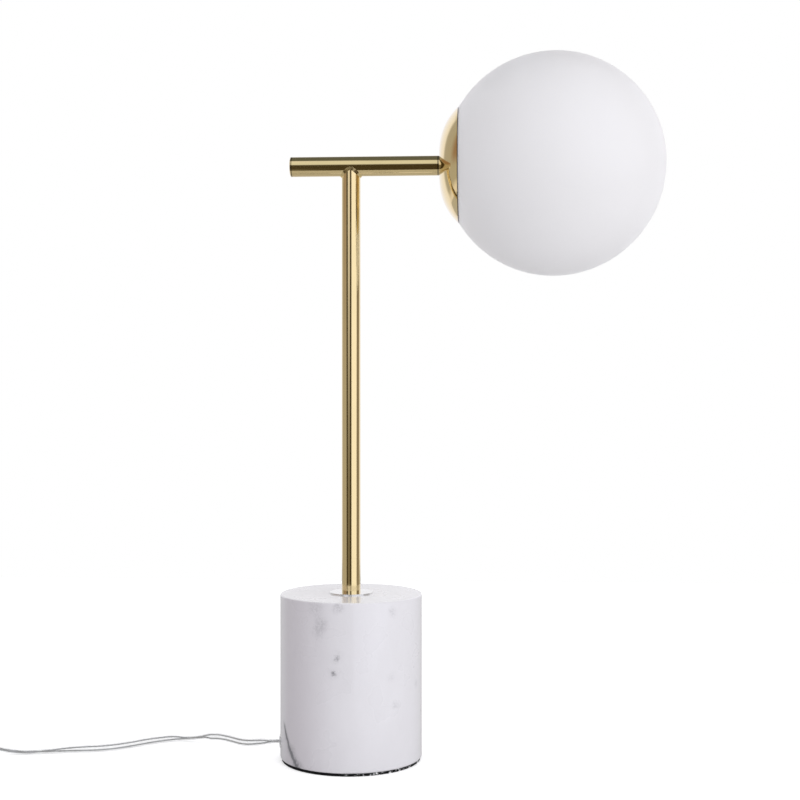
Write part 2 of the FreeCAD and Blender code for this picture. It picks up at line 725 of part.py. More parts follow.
# ---- wires inside the lamp ----
def wire(name, side):
    """One core of the cord, from the grip up the pole and along the arm to the lampholder."""
    apart = side * WIRE_SPACING / 2
    beside = EXIT_WAY.cross(UP) * apart
    points = [EXIT_WAY * GRIP_REACH + beside + UP * CORD_EXIT_HEIGHT]
    step = math.radians(90 / WIRE_BEND_STEPS)
    corner_radius = WIRE_BEND_RADIUS / math.cos(step / 2)
    for k in range(WIRE_BEND_STEPS):
        turned = step * (k + 0.5)
        outward = WIRE_BEND_RADIUS - corner_radius * math.sin(turned)
        upward = WIRE_BEND_RADIUS - corner_radius * math.cos(turned)
        points.append(EXIT_WAY * outward + beside + UP * (CORD_EXIT_HEIGHT + upward))
    lean_low = POLE_FOOT + WIRE_LEAN_START
    lifted = ARM_HEIGHT + WIRE_ARM_LIFT
    drop_x = WIRE_ARM_RUN - WIRE_LEAN
    points += [
        beside + UP * lean_low,
        V(-WIRE_LEAN, apart, lean_low + WIRE_LEAN_LENGTH),
        V(-WIRE_LEAN, apart, lifted),
        V(drop_x, apart, lifted),
        V(drop_x + WIRE_DROP_LENGTH, apart, ARM_HEIGHT),
        V(HOLDER_BODY_X, apart, ARM_HEIGHT),
    ]
    return tube_along(name, points, WIRE_RADIUS)


def wire_live():
    return wire("wire_live", 1)


def wire_neutral():
    return wire("wire_neutral", -1)


# ---- free cord: its points are chosen by hand ----
def cord_lamp_side():
    exit_point = EXIT_WAY * EXIT_REACH + V(0, 0, CORD_EXIT_HEIGHT)
    points = [
        exit_point,
        exit_point + EXIT_WAY * CORD_FIRST_RUN,
        V(-72.0, -10.5, 11.8),
        V(-84.0, -1.5, 9.6),
        V(-94.0, 12.0, 7.8),
        V(-104.5, 28.0, 5.2),
        V(-118.0, 39.0, 3.2),
        V(-134.0, 41.0, 2.7),
        V(-148.0, 32.5, 2.7),
        V(-160.0, 19.0, 2.7),
        V(-174.0, 8.0, 2.7),
        V(-194.0, 1.5, 2.7),
        V(-214.0, -3.0, 2.7),
        V(-234.0, -6.2, 3.0),
        switch_cord_point(-SWITCH_CORD_RUN),
        switch_cord_point(0),
    ]
    return tube_along("cord_lamp_side", points, CORD_RADIUS)


def cord_switch_side():
    points = [
        switch_cord_point(0, far_end=True),
        switch_cord_point(SWITCH_CORD_RUN, far_end=True),
        V(-360.0, -22.2, 4.4),
        V(-375.0, -21.0, 3.3),
        V(-387.0, -20.5, 3.3),
    ]
    return tube_along("cord_switch_side", points, CORD_RADIUS)


def cord_plug_side():
    points = [
        V(-387.0, 56.5, 8.7),
        V(-376.0, 56.6, 8.5),
        PLUG_TAIL - PLUG_WAY * PLUG_CORD_RUN,
        PLUG_TAIL,
    ]
    return tube_along("cord_plug_side", points, CORD_RADIUS)


def switch_cord_point(outward, far_end=False):
    """Point on the switch's cord line, measured outward from where a cord ends inside its housing."""
    reach = SWITCH_LENGTH / 2 - SWITCH_CORD_DEPTH
    along = reach + outward if far_end else outward - reach
    return SWITCH_CENTRE + SWITCH_WAY * along + V(0, 0, SWITCH_SPLIT)


def cord_coil():
    """Outer shape of the wound spare cord."""
    coil = sleeve_up(COIL_LIFT, COIL_TOP, COIL_OUTER_RADIUS, COIL_INNER_RADIUS)
    rims = [edge for edge in coil.Edges if edge.Closed]
    return placed(coil.makeFillet(COIL_ROUND, rims), COIL_CENTRE)


def coil_tie():
    """Closed band round the coil's section, on its far side."""
    near = math.sqrt(COIL_INNER_RADIUS ** 2 - (TIE_WIDTH / 2) ** 2) - TIE_CLEARANCE
    far = COIL_OUTER_RADIUS + TIE_CLEARANCE
    low = COIL_LIFT - TIE_CLEARANCE
    high = COIL_TOP + TIE_CLEARANCE

    def block(margin, corner):
        box = Part.makeBox(
            far - near + 2 * margin,
            TIE_WIDTH,
            high - low + 2 * margin,
            V(-far - margin, -TIE_WIDTH / 2, low - margin),
        )
        return box.makeFillet(corner, [e for e in box.Edges if e.BoundBox.YLength > TIE_WIDTH / 2])

    band = block(TIE_THICKNESS, TIE_CORNER).cut(block(0, TIE_CORNER - TIE_THICKNESS))
    return placed(band, COIL_CENTRE)


# ---- in-line switch, modelled about its own middle and then laid on the cord ----
def switch_prism(inset, low, high):
    """Upright solid of the switch's outline, drawn in by inset."""
    flat_x = SWITCH_FLAT_LENGTH / 2
    side_y = SWITCH_WIDTH / 2 - inset
    end_x = SWITCH_LENGTH / 2 - inset
    end_y = SWITCH_END_WIDTH / 2 - inset
    over_x, over_y = tangent_arc_middle((flat_x, side_y), (end_x, end_y))
    outline = flat_face(
        (flat_x, side_y),
        ((over_x, over_y), (end_x, end_y)),
        (end_x, -end_y),
        ((over_x, -over_y), (flat_x, -side_y)),
        (-flat_x, -side_y),
        ((-over_x, -over_y), (-end_x, -end_y)),
        (-end_x, end_y),
        ((-over_x, over_y), (-flat_x, side_y)),
    )
    outline.rotate(CENTRE, ALONG, -90)
    outline.translate(UP * low)
    return outline.extrude(UP * (high - low))


def switch_case():
    """Both housing halves as one rounded shell."""
    block = switch_prism(0, 0, SWITCH_HEIGHT)
    posts = [e for e in block.Edges if e.BoundBox.ZLength > SWITCH_HEIGHT / 2]
    corners = [e for e in posts if abs(e.CenterOfMass.x) > SWITCH_FLAT_LENGTH / 2 + SWITCH_WALL]
    block = block.makeFillet(SWITCH_END_ROUND, corners)
    block = block.makeFillet(
        SWITCH_TOP_ROUND, [e for e in block.Edges if e.BoundBox.ZMin > SWITCH_HEIGHT - SWITCH_WALL / 2]
    )
    block = block.makeFillet(
        SWITCH_FOOT_ROUND, [e for e in block.Edges if e.BoundBox.ZMax < SWITCH_WALL / 2]
    )
    cavity = switch_prism(SWITCH_WALL, SWITCH_WALL, SWITCH_ROOF)
    cord_way = Part.makeCylinder(
        CORD_RADIUS + SWITCH_CORD_FIT, SWITCH_LENGTH, V(-SWITCH_LENGTH / 2, 0, SWITCH_SPLIT), ALONG
    )
    return block.cut(cavity).cut(cord_way)


def switch_half(low, high):
    """The part of the case between two heights."""
    slab = Part.makeBox(
        SWITCH_LENGTH, SWITCH_WIDTH, high - low, V(-SWITCH_LENGTH / 2, -SWITCH_WIDTH / 2, low)
    )
    return switch_case().common(slab)


def housing_screw_spots():
    return [
        V(HOUSING_SCREW_ALONG, HOUSING_SCREW_ACROSS, 0),
        V(-HOUSING_SCREW_ALONG, -HOUSING_SCREW_ACROSS, 0),
    ]


def on_switch(solid):
    return placed(solid, SWITCH_CENTRE, SWITCH_HEADING)


def switch_lower():
    half = switch_half(0, SWITCH_SPLIT)
    head_depth = HOUSING_SCREW_SINK + HOUSING_SCREW_HEAD_THICKNESS
    for spot in housing_screw_spots():
        half = half.fuse(
            Part.makeCylinder(HOUSING_BOSS_RADIUS, SWITCH_SPLIT - SWITCH_WALL, spot + UP * SWITCH_WALL)
        )
        half = half.cut(Part.makeCylinder(HOUSING_SCREW_RADIUS + SCREW_FIT, SWITCH_SPLIT, spot))
        half = half.cut(Part.makeCylinder(HOUSING_SCREW_HEAD_RADIUS + SCREW_FIT, head_depth, spot))
    return on_switch(half)


def switch_upper():
    half = switch_half(SWITCH_SPLIT, SWITCH_HEIGHT)
    cheek_low = PIVOT_HEIGHT - CHEEK_BELOW_PIVOT
    for side in (-1, 1):
        near = min(side * CHEEK_ACROSS, side * (CHEEK_ACROSS + CHEEK_THICKNESS))
        cheek = Part.makeBox(
            CHEEK_LENGTH, CHEEK_THICKNESS, SWITCH_ROOF - cheek_low, V(-CHEEK_LENGTH / 2, near, cheek_low)
        )
        half = half.fuse(cheek)
    for spot in housing_screw_spots():
        boss = Part.makeCylinder(
            HOUSING_BOSS_RADIUS, SWITCH_ROOF - SWITCH_SPLIT, spot + UP * SWITCH_SPLIT
        )
        half = half.fuse(boss)
        half = half.cut(
            Part.makeCylinder(HOUSING_SCREW_RADIUS + SCREW_FIT, HOUSING_SCREW_LENGTH, spot)
        )
    roof_above_pivot = SWITCH_ROOF - PIVOT_HEIGHT
    window = math.sqrt(ROCKER_REACH ** 2 - roof_above_pivot ** 2) + ROCKER_CLEARANCE
    half = half.cut(
        Part.makeBox(
            2 * window, 2 * CHEEK_ACROSS, SWITCH_HEIGHT - SWITCH_ROOF, V(-window, -CHEEK_ACROSS, SWITCH_ROOF)
        )
    )
    bearing = Part.makeCylinder(
        PIVOT_RADIUS + PIVOT_CLEARANCE,
        2 * (CHEEK_ACROSS + CHEEK_THICKNESS),
        V(0, -CHEEK_ACROSS - CHEEK_THICKNESS, PIVOT_HEIGHT),
        ACROSS,
    )
    return on_switch(half.cut(bearing).removeSplitter())


def switch_rocker():
    """Rocker with its pivot pins. It rests tipped to its first position."""
    top_x = math.sqrt(ROCKER_REACH ** 2 - ROCKER_TOP ** 2)
    side_x = math.sqrt(ROCKER_REACH ** 2 - ROCKER_SIDE_DROP ** 2)
    high = PIVOT_HEIGHT + ROCKER_TOP
    side = PIVOT_HEIGHT - ROCKER_SIDE_DROP
    foot = PIVOT_HEIGHT - ROCKER_FOOT_DROP
    profile = flat_face(
        (-top_x, high),
        (0, high - ROCKER_DIP),
        (top_x, high),
        ((ROCKER_REACH, PIVOT_HEIGHT), (side_x, side)),
        (ROCKER_FOOT_REACH, foot),
        (-ROCKER_FOOT_REACH, foot),
        (-side_x, side),
        ((-ROCKER_REACH, PIVOT_HEIGHT), (-top_x, high)),
    )
    profile.translate(V(0, -ROCKER_WIDTH / 2, 0))
    body = profile.extrude(V(0, ROCKER_WIDTH, 0))
    pin_half = CHEEK_ACROSS + CHEEK_THICKNESS - ROCKER_CLEARANCE
    pins = Part.makeCylinder(PIVOT_RADIUS, 2 * pin_half, V(0, -pin_half, PIVOT_HEIGHT), ACROSS)
    rocker = body.fuse(pins)
    rocker.rotate(V(0, 0, PIVOT_HEIGHT), ACROSS, -ROCKER_TILT)
    return on_switch(rocker)


def switch_contacts():
    """Two bent brass strips on the floor of the lower housing."""
    strips = []
    for side in (-1, 1):
        foot = Part.makeBox(
            STRIP_LENGTH, STRIP_WIDTH, STRIP_THICKNESS, V(STRIP_START, -STRIP_WIDTH / 2, SWITCH_WALL)
        )
        blade = Part.makeBox(
            STRIP_THICKNESS, STRIP_WIDTH, STRIP_HEIGHT, V(STRIP_START, -STRIP_WIDTH / 2, SWITCH_WALL)
        )
        strip = foot.fuse(blade).removeSplitter()
        strip.translate(V(0, -STRIP_OFFSET, 0))
        strips.append(placed(strip, CENTRE, 0 if side > 0 else 180))
    return Part.makeCompound([on_switch(strip) for strip in strips])


def switch_screws():
    screws = []
    for spot in housing_screw_spots():
        low = spot + UP * HOUSING_SCREW_SINK
        head = Part.makeCylinder(HOUSING_SCREW_HEAD_RADIUS, HOUSING_SCREW_HEAD_THICKNESS, low)
        shank = Part.makeCylinder(HOUSING_SCREW_RADIUS, HOUSING_SCREW_LENGTH - HOUSING_SCREW_SINK * 2, low)
        screws.append(on_switch(head.fuse(shank)))
    return Part.makeCompound(screws)


# ---- plug, modelled from its cord end and then laid beside the coil ----
def on_plug(solid):
    return placed(solid, PLUG_TAIL, PLUG_HEADING)


def plug_section(x, width, height):
    """Rounded rectangle across the plug at x."""
    y = width / 2 - PLUG_CORNER
    z = height / 2 - PLUG_CORNER
    core = Part.makePolygon([V(x, y, z), V(x, -y, z), V(x, -y, -z), V(x, y, -z), V(x, y, z)])
    return core.makeOffset2D(PLUG_CORNER)


def plug_pin_ways():
    return [V(0, side * PIN_SPACING / 2, 0) for side in (-1, 1)]


def plug_body():
    """Moulded grip with its ribbed cord relief, pocketed for the pins."""
    grip = Part.makeLoft(
        [
            plug_section(RELIEF_LENGTH, PLUG_NECK_WIDTH, PLUG_NECK_HEIGHT),
            plug_section(RELIEF_LENGTH + PLUG_WIDEST_AT, PLUG_WIDTH, PLUG_HEIGHT),
            plug_section(PLUG_FACE_X, PLUG_FACE_WIDTH, PLUG_FACE_HEIGHT),
        ],
        True,
        True,
    )
    relief = Part.makeCone(RELIEF_THIN_RADIUS, RELIEF_WIDE_RADIUS, RELIEF_LENGTH, CENTRE, ALONG)
    pitch = RELIEF_LENGTH / (RELIEF_GROOVES + 1)
    for k in range(RELIEF_GROOVES):
        near = V(pitch * (k + 1) - RELIEF_GROOVE_WIDTH / 2, 0, 0)
        outer = Part.makeCylinder(PLUG_WIDTH, RELIEF_GROOVE_WIDTH, near, ALONG)
        core = RELIEF_THIN_RADIUS + (RELIEF_WIDE_RADIUS - RELIEF_THIN_RADIUS) * near.x / RELIEF_LENGTH
        inner = Part.makeCylinder(core - RELIEF_GROOVE_DEPTH, RELIEF_GROOVE_WIDTH, near, ALONG)
        relief = relief.cut(outer.cut(inner))
    body = grip.fuse(relief)
    for way in plug_pin_ways():
        root = way + ALONG * (PLUG_FACE_X - PIN_ROOT)
        body = body.cut(Part.makeCylinder(PIN_CORE_RADIUS + PIN_FIT, PIN_ROOT, root, ALONG))
    return on_plug(body)


def plug_pins():
    pins = []
    for way in plug_pin_ways():
        root = way + ALONG * (PLUG_FACE_X - PIN_ROOT)
        bare = way + ALONG * (PLUG_FACE_X + PIN_SLEEVE_LENGTH)
        core = Part.makeCylinder(PIN_CORE_RADIUS, PIN_ROOT + PIN_SLEEVE_LENGTH, root, ALONG)
        blade = Part.makeCylinder(PIN_RADIUS, PIN_LENGTH - PIN_SLEEVE_LENGTH, bare, ALONG)
        tip = [e for e in blade.Edges if e.BoundBox.XMin > bare.x + PIN_TIP]
        pins.append(on_plug(core.fuse(blade.makeFillet(PIN_TIP, tip))))
    return Part.makeCompound(pins)


def plug_sleeves():
    sleeves = []
    for way in plug_pin_ways():
        near = way + ALONG * PLUG_FACE_X
        outer = Part.makeCylinder(PIN_RADIUS, PIN_SLEEVE_LENGTH, near, ALONG)
        bore = Part.makeCylinder(PIN_CORE_RADIUS + PIN_FIT, PIN_SLEEVE_LENGTH, near, ALONG)
        sleeves.append(on_plug(outer.cut(bore)))
    return Part.makeCompound(sleeves)


PIECES = (
    foot_pad, marble_base, cord_bush, cord_grip, inner_cord, top_disc,
    base_rod, base_washer, base_lock_washer, base_nut,
    pole_tube, arm_tube, joint_braze, arm_end_cap, arm_collar,
    dish, glass_globe, globe_seal, dish_rod, dish_spacer,
    spring_plate, globe_springs, spring_rivets, dish_lock_washer, dish_nut,
    holder_cap, holder_body, holder_core, holder_shell, holder_contact, holder_screws,
    bulb_tip, bulb_cap, bulb_body, bulb_dome,
    wire_live, wire_neutral,
    cord_lamp_side, cord_switch_side, cord_plug_side, cord_coil, coil_tie,
    switch_lower, switch_upper, switch_rocker, switch_contacts, switch_screws,
    plug_body, plug_pins, plug_sleeves,
)

os.makedirs("parts", exist_ok=True)
for piece in PIECES:
    shape = piece()
    if not shape.isValid():
        raise ValueError(f"{piece.__name__} isn't a valid shape")
    shape.exportStep(f"parts/{piece.__name__}.step")
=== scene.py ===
import json
import math

import bmesh
import bpy
from bpy.props import FloatProperty, FloatVectorProperty, PointerProperty
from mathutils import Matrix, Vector, noise


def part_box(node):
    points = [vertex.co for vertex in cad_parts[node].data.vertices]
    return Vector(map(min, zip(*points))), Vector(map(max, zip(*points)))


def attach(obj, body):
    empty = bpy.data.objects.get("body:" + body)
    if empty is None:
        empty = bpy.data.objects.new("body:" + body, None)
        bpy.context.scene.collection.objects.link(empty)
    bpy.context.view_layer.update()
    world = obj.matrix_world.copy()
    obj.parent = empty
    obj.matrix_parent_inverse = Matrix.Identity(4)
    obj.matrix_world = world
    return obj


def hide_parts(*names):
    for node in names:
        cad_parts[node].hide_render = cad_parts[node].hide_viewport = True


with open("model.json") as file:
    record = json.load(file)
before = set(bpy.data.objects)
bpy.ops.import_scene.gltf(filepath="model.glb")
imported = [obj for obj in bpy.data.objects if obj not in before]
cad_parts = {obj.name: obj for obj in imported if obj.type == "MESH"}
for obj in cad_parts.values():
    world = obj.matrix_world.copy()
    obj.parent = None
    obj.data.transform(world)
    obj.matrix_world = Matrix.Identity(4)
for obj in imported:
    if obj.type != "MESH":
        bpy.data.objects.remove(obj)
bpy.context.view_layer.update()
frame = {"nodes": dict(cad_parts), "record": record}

bl_info = {
    "name": "Glass globe table lamp",
    "version": (1, 0, 0),
    "blender": (4, 5, 0),
    "location": "3D View > Sidebar > Lamp",
    "description": "Table lamp with a marble base, brass tubes, an opal globe and a clear cord",
    "category": "Object",
}

UP = Vector((0.0, 0.0, 1.0))

# ---- places taken from the frame ----
PAD_LOW, PAD_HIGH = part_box("foot_pad")
MARBLE_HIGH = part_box("marble_base")[1]
MARBLE_RADIUS = MARBLE_HIGH.x
ARM_LOW, ARM_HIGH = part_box("arm_tube")
ARM_HEIGHT = (ARM_LOW.z + ARM_HIGH.z) / 2
COLLAR_LOW, COLLAR_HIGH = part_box("arm_collar")
DISH_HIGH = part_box("dish")[1]

# ---- the free cord, point by point, from the stone to the plug ----
EXIT_HEADING = 192.0
EXIT_REACH = 0.0489
EXIT_HEIGHT = 0.0134
EXIT_RUN = 0.0113
TABLE_POINTS = (
    (-0.0720, -0.0105, 0.0118),
    (-0.0840, -0.0015, 0.0124),
    (-0.0940, 0.0120, 0.0104),
    (-0.1045, 0.0280, 0.0062),
    (-0.1180, 0.0390, 0.0032),
    (-0.1340, 0.0365, 0.0027),
    (-0.1480, 0.0260, 0.0027),
    (-0.1600, 0.0140, 0.0027),
    (-0.1740, 0.0050, 0.0027),
    (-0.1940, 0.0015, 0.0027),
    (-0.2140, -0.0030, 0.0027),
    (-0.2340, -0.0062, 0.0030),
)
SWITCH_CENTRE = Vector((-0.298, -0.0152, 0.007))
SWITCH_HEADING = 188.0
SWITCH_RUNS = (-0.044, -0.026, 0.026, 0.044)
COIL_APPROACH = (
    (-0.3600, -0.0222, 0.0044),
    (-0.3750, -0.0210, 0.0033),
    (-0.3870, -0.0205, 0.0033),
)
COIL_CENTRE = Vector((-0.387, 0.018, 0.0))
COIL_OUTER = 0.0385
COIL_INNER = 0.022
COIL_LAYERS = (0.0033, 0.0087)
COIL_TURNS = 7.5
COIL_POINTS_PER_TURN = 16
COIL_SLOW_WAVE, COIL_FAST_WAVE, COIL_WAVE_SHIFT = 2.3, 5.1, 0.7
COIL_END = (-0.3760, 0.0566, 0.0085)
PLUG_TAIL = Vector((-0.352, 0.0588, 0.00685))
PLUG_HEADING = 5.0
PLUG_RUN = 0.010

# How the flat cord lies: distance along it, and its tilt in degrees, from 0 (flat) to 90 (on edge).
CORD_TILTS = (
    (0.000, 8.0), (0.004, 12.0), (0.014, 66.0), (0.026, 82.0), (0.068, 80.0),
    (0.082, 16.0), (0.092, 12.0), (0.110, 68.0), (0.126, 82.0), (0.162, 82.0),
    (0.215, 0.0), (0.335, 0.0), (0.375, 86.0), (1.720, 86.0), (1.760, 0.0),
)
# The cord lies on the table where its line is lower than this, in thicknesses, and settles over
# the second height.
LIES_BELOW = 2.2
LIES_OVER = 1.2

# ---- marks in the stone: heading round the side in degrees, height, reach (metres), strength ----
STONE_SPECKS = (
    (-95.4, 0.0767, 0.0034, 0.46),
    (-95.8, 0.0780, 0.0070, 0.14),
    (-98.1, 0.0666, 0.0032, 0.74),
    (-98.1, 0.0672, 0.0066, 0.18),
    (-94.6, 0.1098, 0.0055, 0.36),
    (-113.7, 0.1085, 0.0085, 0.22),
    (-108.6, 0.0985, 0.0080, 0.30),
    (-112.0, 0.0930, 0.0060, 0.20),
    (-50.7, 0.1062, 0.0052, 0.26),
    (-47.8, 0.0446, 0.0045, 0.22),
    (-51.7, 0.0634, 0.0050, 0.13),
    (-20.4, 0.0553, 0.0040, 0.20),
    (-133.5, 0.0030, 0.0085, 0.90),
    (-140.0, 0.0120, 0.0070, 0.45),
    (24.0, 0.0810, 0.0060, 0.20),
    (77.0, 0.0370, 0.0030, 0.34),
    (118.0, 0.0640, 0.0080, 0.16),
)
# A vein is a thin sheet through the stone: a point on it, its normal, reach, strength.
STONE_VEINS = (
    ((-0.0380, -0.0299, 0.0130), (-0.515, 0.652, -0.557), 0.0215, 0.85),
    ((-0.0300, 0.0378, 0.0560), (0.62, 0.48, -0.62), 0.0520, 0.42),
    ((0.0420, 0.0240, 0.0300), (-0.55, 0.70, 0.46), 0.0400, 0.30),
)
VEIN_CORE = (0.0018, 0.0005)
VEIN_HALO = 0.0045
MARK_LIMIT = 0.9
# How far marks wander from where they are put, and how finely.
STONE_WANDER = 0.005
STONE_WANDER_SCALE = 110.0
# Painted shade on the side of the stone turned from the key light: distance along each way at which
# it starts and is full.
PAINTED_SHADE_EDGE_WAY, PAINTED_SHADE_EDGE = Vector((0.75, -0.66, 0.0)), (0.045, -0.006)
PAINTED_SHADE_SIDE_WAY, PAINTED_SHADE_SIDE = Vector((-0.66, -0.75, 0.0)), (-0.036, 0.006)
# x at which the painted shade starts and is full, so that the far left edge keeps the ground
# colour.
PAINTED_SHADE_RIM = (-0.0484, -0.0385)
# Painted light: the top face, lit from above, is made paler: depths below it at which that starts
# and is full, its share and colour.
TOP_PAINTED_LIGHT_DEPTHS = (0.0008, 0.0001)
TOP_PAINTED_LIGHT_SHARE = 0.6
TOP_PAINTED_LIGHT_COLOUR = (0.93, 0.925, 0.935, 1.0)

# ---- brass: the dark line of a joint between two pieces, also painted shade at the dish's rim, and the brushing ----
SEAM_AND_RIM_SHADE_WIDTH = 0.00045
SEAM_AND_RIM_SHADE_STRENGTH = 0.9
SEAM_AND_RIM_SHADE_COLOUR = (0.05, 0.03, 0.01, 1.0)
BRUSH_SCALE = 2600.0
BRUSH_DEPTH = 0.0000006
BRASS_ROUGHNESS = (0.05, 0.11)

# ---- foam pad: steps round its edge, and the wander's waves with their shares ----
PAD_STEPS = 420
PAD_WAVES = ((9.0, 0.6), (41.0, 0.5))
PAD_WAVE_RISE = 160.0
FOAM_COLOUR = (0.006, 0.006, 0.007)
PALE_FLECK_COLOUR = (0.75, 0.75, 0.76, 1.0)
# The side of the pad with pale flecks: x at which they start and are full.
PALE_FLECK_SIDE = (-0.004, 0.012)

# ---- the stage ----
WHITE = (1.0, 1.0, 1.0, 1.0)
AMBIENT_BLUE = 1.02
TABLE_X = (-0.80, 0.80)
TABLE_Y = (-0.30, 0.90)
TABLE_COLOUR = (0.88, 0.88, 0.88, 1.0)
TABLE_IN_METAL = (0.58, 0.57, 0.54, 1.0)
KEY_SIZE = 1.3
KEY_TARGET = Vector((0.04, 0.0, 0.26))
KEY_BEARING = 38.0
KEY_HEIGHT = 5.0
KEY_AWAY = 2.2
SENSOR_WIDTH = 36.0
CLIP_START = 0.01

# ---- the studio, seen in the metal: bearing to the right of its front, and height, in degrees ----
STUDIO_FRONT = Vector((0.0635, -0.9980, 0.0))
STUDIO_RIGHT = Vector((0.9980, 0.0635, 0.0))
STUDIO_PANELS = (
    # from, to, low, high, soft edge round, soft edge up, colour
    (-134.0, -56.0, -90.0, 90.0, 5.0, 2.0, (0.47, 0.455, 0.43)),
    (-104.0, -60.0, 6.0, 52.0, 8.0, 8.0, (0.34, 0.235, 0.17)),
    (-182.0, -84.0, -95.0, -15.0, 4.0, 4.0, (0.86, 0.82, 0.82)),
    (-57.0, 78.0, -90.0, 90.0, 1.5, 2.0, (0.060, 0.045, 0.022)),
    (76.0, 116.0, -90.0, 90.0, 6.0, 2.0, (0.27, 0.235, 0.20)),
    (-38.0, -14.0, -90.0, 62.0, 1.5, 9.0, (0.20, 0.18, 0.14)),
    (-38.0, -14.0, 3.0, 62.0, 1.5, 9.0, (0.90, 0.91, 1.00)),
    (-16.0, 8.0, 14.0, 60.0, 2.0, 7.0, (0.80, 0.83, 0.86)),
    (6.0, 72.0, -13.0, 60.0, 1.5, 4.0, (1.12, 1.14, 1.26)),
    (-180.0, 180.0, 66.0, 95.0, 1.0, 6.0, (0.13, 0.14, 0.13)),
    (120.0, 200.0, 38.0, 95.0, 8.0, 6.0, (0.165, 0.125, 0.10)),
    (-200.0, -134.0, 38.0, 95.0, 8.0, 6.0, (0.13, 0.14, 0.13)),
)
STUDIO_WHITE = (0.97, 0.96, 0.99, 1.0)


def way(heading):
    """Level unit vector at a heading in degrees from +X."""
    turn = math.radians(heading)
    return Vector((math.cos(turn), math.sin(turn), 0.0))


# ---- what a user would change ----
class LampSizes(bpy.types.PropertyGroup):
    cord_thickness: FloatProperty(
        name="Cord thickness", description="Thickness of the flat twin cord",
        default=0.0027, min=0.001, unit="LENGTH", precision=4,
    )
    cord_web: FloatProperty(
        name="Cord web", description="Thickness of the web between the cord's two lobes",
        default=0.0013, min=0.0002, unit="LENGTH", precision=4,
    )
    strand_radius: FloatProperty(
        name="Conductor radius", description="Radius of one bundle of tinned strands",
        default=0.00056, min=0.0002, unit="LENGTH", precision=5,
    )
    strand_lay: FloatProperty(
        name="Strand lay", description="Length of cord in which the strands turn once",
        default=0.018, min=0.005, unit="LENGTH", precision=4,
    )
    pad_raggedness: FloatProperty(
        name="Pad raggedness", description="How far the cut edge of the foam pad wanders",
        default=0.00045, min=0.0, unit="LENGTH", precision=5,
    )
    coil_looseness: FloatProperty(
        name="Coil looseness", description="How far a turn of the coil strays from an even winding",
        default=0.0006, min=0.0, unit="LENGTH", precision=5,
    )


class LampFinishes(bpy.types.PropertyGroup):
    brass: FloatVectorProperty(
        name="Brass", description="Colour of the brass tubes and dish", subtype="COLOR",
        default=(0.87, 0.69, 0.35), min=0.0, max=1.0,
    )
    stone: FloatVectorProperty(
        name="Stone", description="Ground colour of the marble", subtype="COLOR",
        default=(0.735, 0.725, 0.76), min=0.0, max=1.0,
    )
    stone_cloud: FloatVectorProperty(
        name="Stone clouds", description="Colour of the soft clouds in the marble", subtype="COLOR",
        default=(0.55, 0.53, 0.555), min=0.0, max=1.0,
    )
    # Colour of the painted shade on the side of the marble turned from the key light.
    stone_painted_shade: FloatVectorProperty(
        name="Stone band", description="Colour of the darker band in the marble", subtype="COLOR",
        default=(0.575, 0.545, 0.58), min=0.0, max=1.0,
    )
    stone_mark: FloatVectorProperty(
        name="Stone marks", description="Colour of the veins and specks", subtype="COLOR",
        default=(0.13, 0.13, 0.145), min=0.0, max=1.0,
    )
    opal: FloatVectorProperty(
        name="Opal glass", description="Colour of the opal glass globe", subtype="COLOR",
        default=(0.89, 0.875, 0.90), min=0.0, max=1.0,
    )
    cord_clear: FloatVectorProperty(
        name="Clear cord", description="Tint of the clear cord's cover", subtype="COLOR",
        default=(0.86, 0.87, 0.87), min=0.0, max=1.0,
    )


class LampStage(bpy.types.PropertyGroup):
    camera_place: FloatVectorProperty(
        name="Camera place", description="Where the camera stands", subtype="TRANSLATION",
        unit="LENGTH", default=(0.093984, -0.951902, 0.248830),
    )
    camera_way: FloatVectorProperty(
        name="Camera direction", description="Way the camera looks", subtype="DIRECTION",
        default=(-0.06350657, 0.99797201, -0.00433411),
    )
    camera_lens: FloatProperty(
        name="Lens", description="Focal length for a 36 mm sensor",
        default=63.0, min=10.0, unit="CAMERA",
    )
    ambient: FloatProperty(
        name="Ambient light", description="Level of the soft light from all round",
        default=0.86, min=0.0,
    )
    key_power: FloatProperty(
        name="Key light", description="Power of the large soft light at the front right",
        default=15.0, min=0.0, unit="POWER",
    )
    floor_glow: FloatProperty(
        name="Floor glow", description="Light added to the floor so that it meets the white room",
        default=0.42, min=0.0,
    )


# ---- node work ----
class Nodes:
    """Adds nodes to one node tree and joins them."""

    def __init__(self, tree):
        self.tree = tree

    def add(self, kind, inputs=None, **settings):
        node = self.tree.nodes.new("ShaderNode" + kind)
        for setting, value in settings.items():
            setattr(node, setting, value)
        for socket, value in (inputs or {}).items():
            self.feed(node.inputs[socket], value)
        return node

    def feed(self, socket, value):
        if isinstance(value, bpy.types.NodeSocket):
            self.tree.links.new(value, socket)
        else:
            socket.default_value = value

    def math(self, operation, first, second=0.0):
        return self.add("Math", {0: first, 1: second}, operation=operation).outputs[0]

    def vector(self, operation, first, second=(0.0, 0.0, 0.0)):
        node = self.add("VectorMath", {0: first, 1: second}, operation=operation)
        single = operation in ("DOT_PRODUCT", "DISTANCE", "LENGTH")
        return node.outputs["Value" if single else "Vector"]

    def smooth(self, value, start, end, low=0.0, high=1.0):
        """Smooth step of a value from low, at start, to high, at end."""
        inputs = {"Value": value, "From Min": start, "From Max": end, "To Min": low, "To Max": high}
        return self.add("MapRange", inputs, interpolation_type="SMOOTHSTEP").outputs[0]

    def noise(self, where, scale, detail=2.0, roughness=0.5, distortion=0.0):
        inputs = {
            "Vector": where, "Scale": scale, "Detail": detail,
            "Roughness": roughness, "Distortion": distortion,
        }
        return self.add("TexNoise", inputs).outputs[0]

    def mix(self, factor, first, second):
        return self.add("Mix", {0: factor, 6: first, 7: second}, data_type="RGBA").outputs[2]


